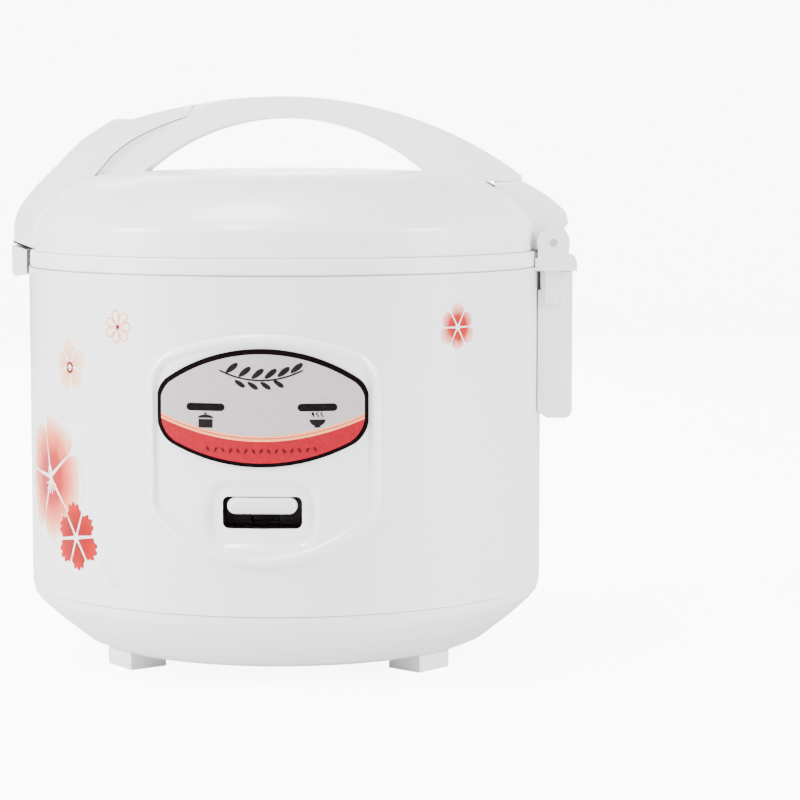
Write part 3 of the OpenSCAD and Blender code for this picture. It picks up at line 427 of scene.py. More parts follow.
def bridge(bm, rings):
    """Quads between rings that have the same number of points, closed round."""
    for a, b in zip(rings, rings[1:]):
        for i in range(len(a)):
            k = (i + 1) % len(a)
            bm.faces.new((a[i], a[k], b[k], b[i]))


def lathe(points):
    """A solid of revolution from a closed outline of (radius, height) in millimetres."""
    steps = 180
    bm = bmesh.new()
    rings = []
    for r, z in points:
        if r < 1e-6:
            rings.append([bm.verts.new((0, 0, z * MM))])
        else:
            rings.append([bm.verts.new((r * MM * math.cos(2 * math.pi * i / steps),
                                        r * MM * math.sin(2 * math.pi * i / steps), z * MM))
                          for i in range(steps)])
    for a, b in zip(rings, rings[1:] + rings[:1]):
        for i in range(steps):
            k = (i + 1) % steps
            if len(a) == 1 and len(b) == 1:
                break
            if len(a) == 1:
                bm.faces.new((a[0], b[i], b[k]))
            elif len(b) == 1:
                bm.faces.new((a[i], b[0], a[k]))
            else:
                bm.faces.new((a[i], b[i], b[k], a[k]))
    return bm


def dome_z(r):
    """Height of the dome's outer surface, as the CAD lid has it."""
    crown_r, crown_sag, power = 0.71 * LID_R, 2.6, 1.4
    if r <= crown_r:
        return DOME_TOP - crown_sag * (r / crown_r) ** 2
    share = min(1.0, (r - crown_r) / (LID_R - crown_r))
    return SKIRT_TOP + (DOME_TOP - SKIRT_TOP - crown_sag) * (1 - share ** power) ** (1 / power)


def lid_solid():
    """The lid's outer shape, to cut its neighbours to its surface."""
    crown_r = 0.71 * LID_R
    radii = [crown_r * i / 6 for i in range(7)]
    radii += [crown_r + (LID_R - crown_r) * (1 - (1 - i / 14) ** 1.6) for i in range(1, 15)]
    return lathe([(r, dome_z(r)) for r in radii] + [(LID_R, LID_BOTTOM - 4), (0, LID_BOTTOM - 4)])


def prism(outline, width, edge_r, segments=4):
    """An outline in X and Z, given width along Y, with both its long rims rounded."""
    bm = bmesh.new()
    sides = []
    for y in (-width / 2, width / 2):
        sides.append([bm.verts.new((x * MM, y * MM, z * MM)) for x, z in outline])
    bm.faces.new(sides[0])
    bm.faces.new(list(reversed(sides[1])))
    n = len(outline)
    for i in range(n):
        k = (i + 1) % n
        bm.faces.new((sides[0][i], sides[1][i], sides[1][k], sides[0][k]))
    rims = [e for e in bm.edges if abs(e.verts[0].co.y - e.verts[1].co.y) < 1e-9]
    bmesh.ops.bevel(bm, geom=rims, offset=edge_r * MM, segments=segments, profile=0.5,
                    affect="EDGES", clamp_overlap=True)
    return bm


def smooth(t):
    """An S curve from 0 to 1."""
    t = max(0.0, min(1.0, t))
    return t * t * (3 - 2 * t)


def arc_points(cx, cz, r, start, stop, n):
    """n + 1 points along an arc, with its angles in degrees."""
    return [(cx + r * math.cos(math.radians(start + (stop - start) * i / n)),
             cz + r * math.sin(math.radians(start + (stop - start) * i / n))) for i in range(n + 1)]


# ---- Handle and its end covers ----

NOSE_TIP_X = 43.5
NOSE_STEP_X = 77.2
SEAM_X = BODY_R - 9.4
SEAM_Z = high("hinge_cover").z + 0.6


ARCH_R_RIGHT = 196.0
ARCH_R_LEFT = 250.0
NOSE_SEAM = [(x - BODY_R, z + DOME_TOP) for x, z in (
    (34.7, -3.5), (36.6, -1.3), (42, 4.9), (48, 10.1), (55, 14.6), (62.2, 18.2), (73.6, 22.8))]
NOSE_SEAM.append((-NOSE_TIP_X, DOME_TOP + 25.7))


def arch_z(x):
    """Height of the handle's top, which falls faster to the right of the middle."""
    r = ARCH_R_RIGHT if x > 0 else ARCH_R_LEFT
    return HANDLE_TOP - (r - math.sqrt(r * r - x * x))


def spline(points, per_span=6):
    """A smooth line through the points, a Catmull-Rom curve."""
    out = []
    for i in range(len(points) - 1):
        p0 = points[max(i - 1, 0)]
        p1, p2 = points[i], points[i + 1]
        p3 = points[min(i + 2, len(points) - 1)]
        for j in range(per_span):
            t = j / per_span
            out.append(tuple(0.5 * (2 * b + (c - a) * t + (2 * a - 5 * b + 4 * c - d) * t * t
                                    + (3 * b - a - 3 * c + d) * t ** 3)
                             for a, b, c, d in zip(p0, p1, p2, p3)))
    return out + [tuple(points[-1])]


def make_handle():
    """The arched handle up to the nose's seam, with its finger window."""
    window_r, window_top = 104.0, HANDLE_TOP - 10.5
    floor_z = DOME_TOP - 14
    centre_z = window_top - window_r
    half_angle = math.degrees(math.acos((floor_z - centre_z) / window_r))
    seam = spline(NOSE_SEAM, 4)
    top = [(x, arch_z(x)) for x in [-NOSE_TIP_X + (SEAM_X + NOSE_TIP_X) * i / 44 for i in range(45)]]
    bottom = [(SEAM_X, SEAM_Z), (LID_R - 30, SEAM_Z), (LID_R - 38, floor_z)]
    window = arc_points(0, centre_z, window_r, 90 - half_angle, 90 + half_angle, 48)
    tail = [(-BODY_R + 44, floor_z), (-BODY_R + 34.7, DOME_TOP - 12)]
    bm = prism(seam[:-1] + top + bottom + window + tail, 30.0, 3.4)
    obj = finish_mesh("handle_arch", bm, "shell", "lid", "shell_white", 40)
    cut(obj, lid_solid())
    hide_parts("handle")


def make_nose_cover():
    """The cover at the latch end, from the handle's seam down to the release button."""
    top = [(x, arch_z(x)) for x in [-NOSE_TIP_X - (NOSE_STEP_X - NOSE_TIP_X) * i / 12 for i in range(13)]]
    step_z = arch_z(-NOSE_STEP_X)
    step = [(-NOSE_STEP_X - 0.5, step_z + 0.7), (-NOSE_STEP_X - 1.2, step_z + 1.4)]
    back = spline([(-BODY_R + x, DOME_TOP + z) for x, z in (
        (44, 23.9), (39.6, 21.3), (34, 17.8), (28.2, 13.8), (22.6, 8.6), (16.4, 2.4), (8, -5.8), (1, -13.7),
        (-3.6, -20), (-5.6, -25.6), (-6.3, -31))], 5) + [(-BODY_R - 6.4, LID_BOTTOM + 3.6)]
    foot = [(-LID_R, LID_BOTTOM + 0.3), (-LID_R + 4, LID_BOTTOM + 0.3), (-BODY_R + 24, DOME_TOP - 20)]
    seam = [(x - 0.25, z + 0.35) for x, z in spline(NOSE_SEAM, 4)]
    bm = prism(top + step + back + foot + seam[:-1], 34.0, 2.6)
    taper = 0.113
    for vert in bm.verts:
        vert.co.y *= 1 - taper * smooth((vert.co.x / MM + 76) / 32)
    obj = finish_mesh("latch_nose", bm, "shell", "lid", "shell_white", 40)
    cut(obj, lid_solid())
    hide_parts("nose_cover")


def make_hinge_cover():
    """The cover at the hinge end, with its knuckles round the pin."""
    hinge = (low("hinge_pin") + high("hinge_pin")) / 2
    hx, hz = hinge.x, hinge.z
    width = high("hinge_cover").y - low("hinge_cover").y
    back = spline([(SEAM_X, SEAM_Z - 0.6), (BODY_R + 1.5, DOME_TOP - 13), (BODY_R + 8, DOME_TOP - 18),
                   (BODY_R + 12, DOME_TOP - 21.6)], 5)
    knuckle = arc_points(hx, hz, 6.3, 55, -150, 18)
    outline = ([(SEAM_X - 14, SEAM_Z - 0.6)] + back + [(BODY_R + 13.4, hz + 9.8), (BODY_R + 12.4, hz + 8.0)]
               + knuckle + [(LID_R - 6, hz - 3.2), (BODY_R - 22, DOME_TOP - 10)])
    bm = prism(outline, width, 1.3, 3)
    obj = finish_mesh("hinge_hood", bm, "shell", "lid", "shell_white", 40)
    cut(obj, lid_solid())
    pin_bore, knuckle_gap = (2.06, 80.0), (7.1, 16.0)
    for radius, length in (pin_bore, knuckle_gap):
        tube = bmesh.new()
        bmesh.ops.create_cone(tube, cap_ends=True, segments=48, radius1=radius * MM, radius2=radius * MM,
                              depth=length * MM)
        for vert in tube.verts:
            x, y, z = vert.co
            vert.co = (x + hx * MM, z, y + hz * MM)
        cut(obj, tube)
    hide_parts("hinge_cover")


make_handle()
make_nose_cover()
make_hinge_cover()


# ---- Panel: bezel, label and key ----

def segment_distance(px, pz, ax, az, bx, bz):
    """Distance from a point to a straight line between two others."""
    dx, dz = bx - ax, bz - az
    t = max(0.0, min(1.0, ((px - ax) * dx + (pz - az) * dz) / (dx * dx + dz * dz)))
    return math.hypot(px - ax - t * dx, pz - az - t * dz)


def shield_end(z, arch_r, corner):
    """One arched end of the bezel's outline, upwards from z = 0 at the arch's crown, from right to left."""
    reach = high("front_bezel").x - corner
    corner_z = z - arch_r + math.sqrt((arch_r - corner) ** 2 - reach ** 2)
    half_angle = math.degrees(math.asin(reach / (arch_r - corner)))
    return (arc_points(reach, corner_z, corner, 0, 90 - half_angle, 10)
            + arc_points(0, z - arch_r, arch_r, 90 - half_angle, 90 + half_angle, 40)[1:]
            + arc_points(-reach, corner_z, corner, 90 + half_angle, 180, 10)[1:])


def shield_outline():
    """The bezel's outline, anticlockwise from the right: arched top and bottom, straight sides."""
    lower_end = shield_end(-low("front_bezel").z, 72.0, 12.0)
    return shield_end(high("front_bezel").z, 120.0, 18.0) + [(-x, -z) for x, z in lower_end]


def bezel_height(x, z, inset):
    """How far the bezel's face stands off the sleeve, inset millimetres inside its outline."""
    proud = BEZEL_R - BODY_R
    rim_r = 2.4
    roll_w, roll_h, step_h = 6.4, 0.225, 1.6
    roll = roll_h * math.sin(math.pi * min(inset, roll_w) / roll_w)
    face = proud - step_h * smooth((inset - 2.8) / 2.6) + roll
    if inset < rim_r:
        face = proud - rim_r + math.sqrt(rim_r ** 2 - (rim_r - inset) ** 2)
    half_w, half_h, corner, dish_z = 26.5, 16.2, 11.0, SLOT_Z - 0.8
    dish_h, dish_slope = 2.2, 3.6
    qx, qz = abs(x) - half_w + corner, abs(z - dish_z) - half_h + corner
    outside = math.hypot(max(qx, 0), max(qz, 0)) + min(max(qx, qz), 0) - corner
    return face - dish_h * smooth(-outside / dish_slope)


def on_cylinder(x, z, r):
    """The point at x and z on the front of an upright cylinder round the cooker's axis."""
    return (x * MM, -math.sqrt(r * r - x * x) * MM, z * MM)


def make_bezel():
    """The panel's bezel, as rings that shrink to its middle over a shaped face."""
    outline = shield_outline()
    sides = list(zip(outline, outline[1:] + outline[:1]))
    back_r = BODY_R + 0.1
    dense = []
    for (ax, az), (bx, bz) in sides:
        n = max(1, round(math.hypot(bx - ax, bz - az) / 1.6))
        dense += [(ax + (bx - ax) * i / n, az + (bz - az) * i / n) for i in range(n)]
    centre_z = 112.0
    shares = [0, 0.002, 0.006, 0.012, 0.02, 0.03, 0.042, 0.06, 0.08, 0.1, 0.12, 0.145, 0.17]
    shares += [0.17 + 0.79 * i / 44 for i in range(1, 45)]
    bm = bmesh.new()
    back = [bm.verts.new(on_cylinder(x, z, back_r)) for x, z in dense]
    rings = [back]
    for share in shares:
        ring = []
        for x, z in dense:
            px, pz = x * (1 - share), z + (centre_z - z) * share
            inset = 0.0
            if share > 0:
                inset = min(segment_distance(px, pz, *a, *b) for a, b in sides)
            ring.append(bm.verts.new(on_cylinder(px, pz, BODY_R + bezel_height(px, pz, inset))))
        rings.append(ring)
    n = len(dense)
    bridge(bm, rings)
    bm.faces.new(rings[-1])
    inner = back
    for share in (0.25, 0.5, 0.75, 0.95):
        ring = [bm.verts.new(on_cylinder(x * (1 - share), z + (centre_z - z) * share, back_r))
                for x, z in dense]
        for i in range(n):
            k = (i + 1) % n
            bm.faces.new((inner[k], inner[i], ring[i], ring[k]))
        inner = ring
    bm.faces.new(list(reversed(inner)))
    obj = finish_mesh("panel_bezel", bm, "panel", "cooker", "panel_white", 50)
    cut(obj, slot_cutter(SLOT_HALF_W, SLOT_HALF_H, 2.8))
    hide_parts("front_bezel")


def rounded_rectangle(half_w, half_h, corner, n=8):
    return (arc_points(half_w - corner, half_h - corner, corner, 0, 90, n)
            + arc_points(corner - half_w, half_h - corner, corner, 90, 180, n)
            + arc_points(corner - half_w, corner - half_h, corner, 180, 270, n)
            + arc_points(half_w - corner, corner - half_h, corner, 270, 360, n))


def slot_cutter(half_w, half_h, corner):
    """A cutter through the panel for the key's slot, a little wider at its mouth."""
    bm = bmesh.new()
    rings = []
    steps = ((-100.0, 0.0), (4.2 - BEZEL_R, 0.0), (2.9 - BEZEL_R, 0.25), (2.1 - BEZEL_R, 1.0), (-140.0, 6.0))
    for y, grow in steps:
        outline = rounded_rectangle(half_w + grow, half_h + grow, corner + grow)
        rings.append([bm.verts.new((x * MM, y * MM, (z + SLOT_Z) * MM)) for x, z in outline])
    bridge(bm, rings)
    bm.faces.new(rings[0])
    bm.faces.new(list(reversed(rings[-1])))
    return bm


def make_key():
    """The cook key, a pill with a rounded front rim."""
    half_w = high("cook_key").x
    half_h = (high("cook_key").z - low("cook_key").z) / 2
    mid_z = (high("cook_key").z + low("cook_key").z) / 2
    front, rear = low("cook_key").y, high("cook_key").y
    hollow = 0.0016  # the face curves with the panel
    bm = bmesh.new()
    rings = []
    for y, inset in ((rear, 0.0), (front + 3.4, 0.0), (front + 2.5, 0.2), (front + 1.75, 0.6),
                     (front + 1.15, 1.15), (front + 0.75, 1.8), (front + 0.5, 2.6), (front + 0.42, 3.2)):
        h, v = half_w - inset, half_h - inset
        pill = rounded_rectangle(h, v, v - 0.02, 10)
        rings.append([bm.verts.new((x * MM, (y + hollow * x * x) * MM, (z + mid_z) * MM)) for x, z in pill])
    bridge(bm, rings)
    bm.faces.new(rings[0])
    bm.faces.new(list(reversed(rings[-1])))
    obj = finish_mesh("key_cap", bm, "key", "key", "key_white", 50)
    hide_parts("cook_key")


def patch(name, outlines, place, outer_r, thick, look, body, slot, step=2.5, uv_scale=0.01):
    """Thin closed inlays bent round the cooker, from flat outlines. place maps (u, v, r) to a point."""
    bm = bmesh.new()
    for outline in outlines:
        sheet = bmesh.new()
        sheet.faces.new([sheet.verts.new((u, 0, v)) for u, v in outline])
        lo = min(u for u, v in outline)
        hi = max(u for u, v in outline)
        at = math.ceil(lo / step) * step
        while at < hi:
            bmesh.ops.bisect_plane(sheet, geom=sheet.verts[:] + sheet.edges[:] + sheet.faces[:], dist=1e-7,
                                   plane_co=(at, 0, 0), plane_no=(1, 0, 0))
            at += step
        bmesh.ops.triangulate(sheet, faces=sheet.faces[:])
        sheet.verts.index_update()
        front = [bm.verts.new(place(v.co.x, v.co.z, outer_r)) for v in sheet.verts]
        rear = [bm.verts.new(place(v.co.x, v.co.z, outer_r - thick)) for v in sheet.verts]
        flat = {front[i]: (v.co.x, v.co.z) for i, v in enumerate(sheet.verts)}
        flat.update({rear[i]: (v.co.x, v.co.z) for i, v in enumerate(sheet.verts)})
        layer = bm.loops.layers.uv.get("flower") or bm.loops.layers.uv.new("flower")
        made = []
        for face in sheet.faces:
            ids = [v.index for v in face.verts]
            made.append(bm.faces.new([front[i] for i in ids]))
            made.append(bm.faces.new([rear[i] for i in reversed(ids)]))
        for edge in sheet.edges:
            if len(edge.link_faces) == 1:
                a, b = edge.verts[0].index, edge.verts[1].index
                made.append(bm.faces.new((front[a], rear[a], rear[b], front[b])))
        for face in made:
            for loop in face.loops:
                u, v = flat[loop.vert]
                loop[layer].uv = (u * uv_scale, v * uv_scale)
        sheet.free()
    return finish_mesh(name, bm, look, body, slot, 50)


LABEL_HALF_W = high("panel_frame").x
LAMP_X = 25.5


def eye_top(x, inset):
    """The label's upper edge, an arch with rounded ends, inset millimetres inside its border."""
    half = LABEL_HALF_W - inset
    up, side, corner = 27.0, 9.9, 4.5
    r = (LABEL_HALF_W ** 2 + (up - side) ** 2) / (2 * (up - side)) - inset
    z = FASCIA_Z + up - inset - (r - math.sqrt(max(r * r - x * x, 0)))
    return z - corner * (1 - rounding(x, half, corner))


def eye_bottom(x, inset):
    """The label's lower edge, as eye_top."""
    half = LABEL_HALF_W - inset
    down, side, corner = 26.9, 13.0, 7.0
    r = (LABEL_HALF_W ** 2 + (down - side) ** 2) / (2 * (down - side)) - inset
    z = FASCIA_Z - down + inset + (r - math.sqrt(max(r * r - x * x, 0)))
    return z + corner * (1 - rounding(x, half, corner))


def rounding(x, half, corner):
    """1 along the edge, falling to 0 round a corner at half."""
    over = max(0.0, abs(x) - (half - corner)) / corner
    return math.sqrt(max(0.0, 1 - over * over))


def columns(half):
    """Positions across the label, closer together in its rounded corners."""
    corner, n = 7.0, 28
    core = [(half - corner) * (2 * i / n - 1) for i in range(n + 1)]
    ends = [half - corner + corner * math.sin(math.radians(90 * i / 10)) for i in range(1, 11)]
    return [-x for x in reversed(ends)] + core + ends


def between(xs, lower, upper, least=0.02):
    """The outline between two curves, where the upper one is above the lower."""
    xs = [x for x in xs if upper(x) - lower(x) > least]
    return [(x, lower(x)) for x in xs] + [(x, upper(x)) for x in reversed(xs)]


def band_top(x):
    """Upper edge of the red band, which dips in the middle."""
    return FASCIA_Z - 15.2 + 9.7 * (x / 46.0) ** 2


def make_label():
    """The printed label: black border, silver face, red band with its lines, and lamp windows."""
    inset = 1.75
    # The silver face stops 0.7 mm lower at the top, so the printed black border runs wider there: painted
    # shadow under the label's top edge.
    top_shadow_extra = 0.7
    peach_w = 2.6
    copper_low, copper_high = 1.1, 1.6

    def upper(x):
        return eye_top(x, inset) - top_shadow_extra

    def lower(x):
        return eye_bottom(x, inset)

    def stripe(least, most):
        """The part of the face between two heights over the band's top."""
        return between(xs, lambda x: max(lower(x), band_top(x) + least),
                       lambda x: min(upper(x), band_top(x) + most))

    def layer(name, outlines, outer_r, thick, look, slot="fascia_print"):
        return patch(name, outlines, on_cylinder, outer_r, thick, look, "cooker", slot)

    xs = columns(LABEL_HALF_W - 0.01)
    border = between(xs, lambda x: eye_bottom(x, 0), lambda x: eye_top(x, 0))
    plate = layer("label_border", [border], BEZEL_R - 0.35, 1.1, "black", "panel_black")
    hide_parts("panel_frame")
    xs = columns(LABEL_HALF_W - inset - 0.01)
    silver = between(xs, lambda x: max(lower(x), band_top(x) + peach_w), upper, 0.15)
    face = layer("label_face", [silver], BEZEL_R - 0.2, 0.5, "silver")
    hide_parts("fascia_plate")
    layer("label_line", [stripe(0.0, peach_w)], BEZEL_R - 0.2, 0.5, "peach")
    layer("label_edge_line", [stripe(copper_low, copper_high)], BEZEL_R - 0.15, 0.3, "copper")
    band = between(xs, lower, lambda x: min(upper(x), band_top(x)))
    layer("label_band", [band], BEZEL_R - 0.2, 0.5, "band")
    window = rounded_rectangle(8.9, 1.75, 1.7, 6)
    lamps = [[(x + side * LAMP_X, z + FASCIA_Z + 0.4) for x, z in window] for side in (-1, 1)]
    windows = layer("lamp_windows", lamps, BEZEL_R - 0.08, 0.4, "lens", "lens_dark")
    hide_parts("lamp_lenses")


def ribbon(points, width):
    """The outline of a line of the given width through the points, with rounded ends."""
    left, right = [], []
    n = len(points)
    for i, (x, z) in enumerate(points):
        ax, az = points[max(i - 1, 0)]
        bx, bz = points[min(i + 1, n - 1)]
        length = math.hypot(bx - ax, bz - az)
        nx, nz = -(bz - az) / length, (bx - ax) / length
        half = width / 2 * (0.55 if i in (0, n - 1) else 1.0)
        left.append((x + nx * half, z + nz * half))
        right.append((x - nx * half, z - nz * half))
    return left + right[::-1]


def moved(outline, dx, dz, size=1.0, turn=0.0):
    """An outline sized, turned by degrees and then shifted."""
    c, s = math.cos(math.radians(turn)) * size, math.sin(math.radians(turn)) * size
    return [(x * c - z * s + dx, x * s + z * c + dz) for x, z in outline]


def grain_shape(length, width):
    """A rice grain's outline, long along X."""
    return [(length / 2 * math.cos(math.radians(a)), width / 2 * math.sin(math.radians(a))
             * (1 + 0.15 * math.cos(math.radians(a)))) for a in range(0, 360, 24)]


def make_icons():
    """A pot and a steaming bowl under the lamps, a sprig of grain above and grains on the band."""
    bowl = [(3.6 * math.cos(math.radians(a)), 3.1 * math.sin(math.radians(a))) for a in range(180, 361, 15)]
    foot = [(-1.5, -3.7), (1.5, -3.7), (1.3, -3.0), (-1.3, -3.0)]
    wave = [(0.55 * math.sin(math.radians(80 * i)), 0.9 + 0.5 * i) for i in range(6)]
    steam = [moved(ribbon(wave, 0.55), dx, 0) for dx in (-2.0, 0.0, 2.0)]
    pot = [(-3.3, -3.6), (3.3, -3.6), (3.3, 0.4), (-3.3, 0.4)]
    pot_lid = [(3.7 * math.cos(math.radians(a)), 0.9 + 1.5 * math.sin(math.radians(a)))
               for a in range(0, 181, 15)]
    knob = [(-0.6, 2.5), (0.6, 2.5), (0.6, 3.3), (-0.6, 3.3)]
    z = FASCIA_Z - 5.5
    cook = [moved(o, -LAMP_X, z) for o in (pot, pot_lid, knob)]
    warm = [moved(o, LAMP_X, z + 0.4) for o in [bowl, foot] + steam]
    patch("label_icons", cook + warm, on_cylinder, BEZEL_R - 0.1, 0.3, "ink", "cooker", "fascia_print")
    stem_z, stem_bow, sprig_size = 13.2, 0.016, 1.28
    stem = [(x, stem_z + stem_bow * x * x) for x in range(-15, 16, 5)]
    sprig = [moved(ribbon(spline(stem, 4), 0.6), 0, FASCIA_Z)]
    for i in range(6):
        x = -11.5 + 4.6 * i
        base = stem_z + stem_bow * x * x
        sprig.append(moved(grain_shape(5.4, 2.0), x + 1.2, base + 2.3 + FASCIA_Z, 1.0, 38))
        if 0 < i < 5:
            sprig.append(moved(grain_shape(4.4, 1.7), x - 0.6, base - 1.9 + FASCIA_Z, 1.0, -34))
    sprig = [moved(o, 0, (1 - sprig_size) * (FASCIA_Z + 15), sprig_size) for o in sprig]
    patch("label_sprig", sprig, on_cylinder, BEZEL_R - 0.1, 0.3, "ink", "cooker", "fascia_print")
    grains = []
    for i in range(15):
        x = -24.5 + 3.5 * i
        turn = 62 if i % 2 else 118
        grains.append(moved(grain_shape(2.5, 1.1), x, FASCIA_Z - 19.6 + 0.0015 * x * x, 1.0, turn))
    patch("label_grains", grains, on_cylinder, BEZEL_R - 0.1, 0.3, "grain_ink", "cooker", "fascia_print")


make_bezel()
make_key()
make_label()
make_icons()


# ---- Flowers printed on the sleeve ----

INK_T = 0.05


def on_sleeve(middle_deg, middle_z, size):
    """Places a drawing in flower radii on the sleeve, at an angle from the front towards the right."""
    def place(u, v, r):
        a = math.radians(middle_deg) + u * size / BODY_R
        return (math.sin(a) * r * MM, -math.cos(a) * r * MM, (middle_z + v * size) * MM)
    return place


def fan_petal(count, length, start=0.1, gap=2.5, teeth=0, tooth=0.05, crown=0.3):
    """One of count petals that stand side by side: narrow at its root, broad and scalloped at its tip."""
    n = 36
    half = 180 / count - gap
    outline = [(0.0, start)]
    for i in range(n + 1):
        t = 2 * i / n - 1
        r = length * (1 - crown + crown * math.cos(math.pi / 2 * t) ** 0.55)
        r *= 1 + tooth * (math.cos(math.pi * teeth * t) - 1) / 2
        a = math.radians(half * t * 0.985)
        outline.append((r * math.sin(a), r * math.cos(a)))
    return outline


def petals(count, start_deg, sizes, **shape):
    """A flower's petals, with the sizes taken in turn."""
    out = []
    for i in range(count):
        size = sizes[i % len(sizes)]
        out.append(moved(fan_petal(count, length=size, **shape), 0, 0, 1.0, start_deg + 360 * i / count))
    return out


def ring_of(shape_line, width):
    """A closed line turned into a band, as two half outlines."""
    n = len(shape_line)
    half = n // 2
    first = shape_line[:half + 1]
    second = shape_line[half:] + shape_line[:1]
    return [ribbon(first, width), ribbon(second, width)]


def flower_layer(name, outlines, middle_deg, middle_z, size, level, look):
    """level counts printed layers outwards from the sleeve."""
    patch(name, outlines, on_sleeve(middle_deg, middle_z, size), BODY_R + INK_T * (1 + level), 0.3, look,
          "cooker", "sleeve_paint", step=2.0 / size, uv_scale=1.0)


def circle(radius, n=28):
    return arc_points(0, 0, radius, 0, 360 - 360 / n, n - 1)


def make_flowers():
    at = (-32.6, 168.4, 7.8)
    small = petals(7, 14, (1.0, 0.94), start=0.14, gap=3.5, crown=0.34)
    flower_layer("blossom_top", small, *at, 0, "blush")
    lines = []
    for shape in small:
        lines += ring_of(shape, 0.07)
    flower_layer("blossom_top_lines", lines, *at, 1, "blossom")
    flower_layer("blossom_top_eye", [circle(0.13)], *at, 2, "flower_eye")

    at = (-48.2, 148.8, 12.8)
    pale = petals(5, 4, (1.0, 0.95), teeth=4, tooth=0.1, crown=0.26)
    flower_layer("blossom_pale", pale, *at, 0, "flower_pale")
    eye = [moved(o, 0, -0.08) for o in ring_of(circle(0.17), 0.1)]
    flower_layer("blossom_pale_eye", eye, *at, 1, "flower_eye")

    at = (-57.7, 93.9, 33.0)
    big = petals(5, -22, (1.02, 0.92, 1.04, 0.98, 1.0), start=0.05, gap=0.8, teeth=5, tooth=0.05, crown=0.3)
    flower_layer("flower_big", big, *at, 1, "flower_big")
    flower_layer("flower_big_edge", sum((ring_of(o, 0.02) for o in big), []), *at, 0, "outline")
    loop = [(0.05 * math.sin(math.radians(18 * j)), 0.05 + 0.11 * math.cos(math.radians(18 * j)))
            for j in range(20)]
    eye = [moved(o, 0, 0, 1.0, 12) for o in ring_of(loop, 0.028)]
    for turn in (96, 130, 165, 200, 232, 266):
        eye.append(moved(ribbon([(0, 0.04), (0.004, 0.1), (0, 0.17)], 0.024), 0.012, -0.09, 1.0, turn))
    eye.append(moved(circle(0.034, 14), 0.012, -0.09))
    flower_layer("flower_big_eye", eye, *at, 2, "stamen")

    at = (-46.5, 67.3, 16.8)
    red = petals(6, 8, (1.0, 0.92), start=0.12, gap=4.0, teeth=4, tooth=0.11, crown=0.26)
    flower_layer("flower_red", red, *at, 3, "flower_red")
    flower_layer("flower_red_edge", sum((ring_of(o, 0.035) for o in red), []), *at, 2, "flower_dark")
    eye = [circle(0.12, 18)]
    for i in range(6):
        eye.append(moved(ribbon([(0, 0.1), (0.006, 0.2), (0, 0.27)], 0.04), 0, 0, 1.0, 60 * i + 38))
    flower_layer("flower_red_eye", eye, *at, 4, "stamen")

    at = (-35.3, 52.8, 10.0)
    leaf = [(0.3 * math.cos(math.radians(12 * j)), 0.78 * math.sin(math.radians(12 * j))) for j in range(30)]
    spray = ring_of(leaf, 0.06) + [ribbon([(0, -0.6), (0.05, 0.0), (0, 0.6)], 0.05)]
    flower_layer("spray_lines", [moved(o, 0, 0, 1.0, 40) for o in spray], *at, 0, "outline")

    at = (43.9, 167.8, 11.4)
    soft = petals(6, 0, (1.0, 0.92), start=0.08, gap=2.0, teeth=3, crown=0.28)
    flower_layer("flower_soft", soft, *at, 0, "flower_soft")
    flower_layer("flower_soft_eye", [circle(0.13, 18)], *at, 1, "stamen")


make_flowers()


# ---- Fine rings at the lid's split and over the sleeve; the grey ring over the sleeve also paints the seam's shadow line ----

RING_TOP = high("top_ring").z
SLEEVE_TOP = high("outer_sleeve").z
lip = lathe([(LID_R - 8, LID_BOTTOM + 0.4), (LID_R - 8, RING_TOP + 0.12), (LID_R - 0.45, RING_TOP + 0.12),
             (LID_R - 0.2, RING_TOP + 0.3), (LID_R - 0.2, LID_BOTTOM + 0.4)])
finish_mesh("lid_lip", lip, "shell", "lid", "shell_white")
# A grey silicone joint at the sleeve's top; its grey also paints the shadow line of the seam under the top
# ring.
joint = lathe([(BODY_R - 1.4, SLEEVE_TOP - 0.1), (BODY_R - 0.12, SLEEVE_TOP - 0.1),
               (BODY_R - 0.12, SLEEVE_TOP + 0.3), (BODY_R - 1.4, SLEEVE_TOP + 0.3)])
finish_mesh("sleeve_joint_seam_shade", joint, "joint", "cooker", "silicone")


# ---- Painted shade in the latch's two gaps: dark sheets where the gaps fall into shadow ----

NOSE_OUT = low("nose_cover").x
gap_line = [(NOSE_OUT + 0.6, LID_BOTTOM + 2.9), (-LID_R - 0.6, LID_BOTTOM - 0.3),
            (-LID_R + 1.4, LID_BOTTOM + 0.2), (-LID_R + 1.4, LID_BOTTOM + 0.5),
            (-LID_R, LID_BOTTOM + 1.0), (NOSE_OUT + 1.0, LID_BOTTOM + 4.4)]
# A dark sheet under the latch nose: painted shade in the gap between the nose and the release button.
finish_mesh("nose_gap_shade", prism(gap_line, 32.0, 0.1, 1), "dark", "lid", "dark_plastic")


def beside_latch(u, v, r):
    """The point at u across and v up on the left side of an upright cylinder round the cooker's axis."""
    return (-math.sqrt(r * r - u * u) * MM, u * MM, v * MM)


BUTTON_LOW, BUTTON_HIGH = low("release_button").z, high("release_button").z
# A dark strip on the sleeve behind the release button: painted shade in the gap beside it.
strip = [(-15.8, BUTTON_LOW + 1), (15.8, BUTTON_LOW + 1), (15.8, SLEEVE_TOP), (-15.8, SLEEVE_TOP)]
patch("latch_gap_shade", [strip], beside_latch, BODY_R + 0.12, 0.3, "dark", "cooker", "dark_plastic")


# ---- Lamps behind their windows ----

glass, glass_tree, glass_bsdf = new_material("lamp_glass", (0.9, 0.35, 0.08), 0.15)
glass_bsdf.inputs["Transmission Weight"].default_value = 0.5
vary(glass_tree, glass_bsdf, "Roughness", noise_at(glass_tree, 300.0), 0.1, 0.25)
NODES["indicator_lamps"].data.materials.clear()
NODES["indicator_lamps"].data.materials.append(glass)


# ---- Floor ----

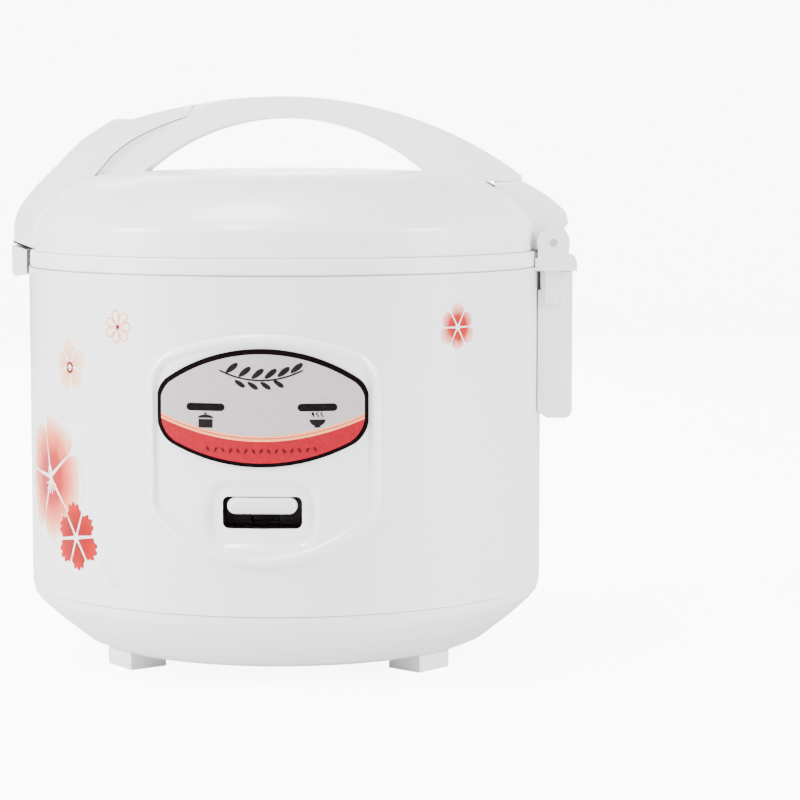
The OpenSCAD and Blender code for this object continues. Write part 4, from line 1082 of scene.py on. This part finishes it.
def make_floor():
    """A round pale floor that sweeps up into a wall, which glows softly as a lit backdrop does. In metres."""
    flat_r, sweep_r, wall_top = 2.4, 1.2, 3.4
    wall_glow, white_level = 0.42, 8.0
    line = [(0.0, 0.0), (0.6, 0.0), (1.6, 0.0), (flat_r, 0.0)]
    line += [(flat_r + x, sweep_r + z) for x, z in arc_points(0, 0, sweep_r, -90, 0, 15)[1:]]
    line.append((flat_r + sweep_r, wall_top))
    bm = bmesh.new()
    steps = 96
    rings = [[bm.verts.new((0, 0, 0))]]
    for r, z in line[1:]:
        turns = [2 * math.pi * i / steps for i in range(steps)]
        rings.append([bm.verts.new((r * math.cos(a), r * math.sin(a), z)) for a in turns])
    for a, b in zip(rings, rings[1:]):
        for i in range(steps):
            k = (i + 1) % steps
            bm.faces.new((a[0], b[i], b[k]) if len(a) == 1 else (a[i], b[i], b[k], a[k]))
    mesh = bpy.data.meshes.new("studio_sweep")
    bm.to_mesh(mesh)
    bm.free()
    mesh.shade_smooth()
    obj = bpy.data.objects.new("studio_sweep", mesh)
    bpy.context.scene.collection.objects.link(obj)
    mat, tree, bsdf = new_material("sweep_pale", (0.88, 0.88, 0.885), 0.6)
    vary(tree, bsdf, "Roughness", noise_at(tree, 3.0), 0.55, 0.65)
    coords = tree.nodes.new("ShaderNodeTexCoord")
    split = tree.nodes.new("ShaderNodeSeparateXYZ")
    tree.links.new(coords.outputs["Object"], split.inputs["Vector"])
    glow = tree.nodes.new("ShaderNodeMapRange")
    glow.interpolation_type = "SMOOTHSTEP"
    glow.inputs["From Min"].default_value = -0.1
    glow.inputs["From Max"].default_value = 0.8
    glow.inputs["To Min"].default_value = 0.0
    glow.inputs["To Max"].default_value = wall_glow
    tree.links.new(split.outputs["Z"], glow.inputs["Value"])
    path = tree.nodes.new("ShaderNodeLightPath")
    seen = tree.nodes.new("ShaderNodeMix")
    seen.inputs["B"].default_value = white_level
    tree.links.new(path.outputs["Is Camera Ray"], seen.inputs["Factor"])
    tree.links.new(glow.outputs["Result"], seen.inputs["A"])
    tree.links.new(seen.outputs["Result"], bsdf.inputs["Emission Strength"])
    bsdf.inputs["Emission Color"].default_value = (1, 1, 1, 1)
    mesh.materials.append(mat)


make_floor()
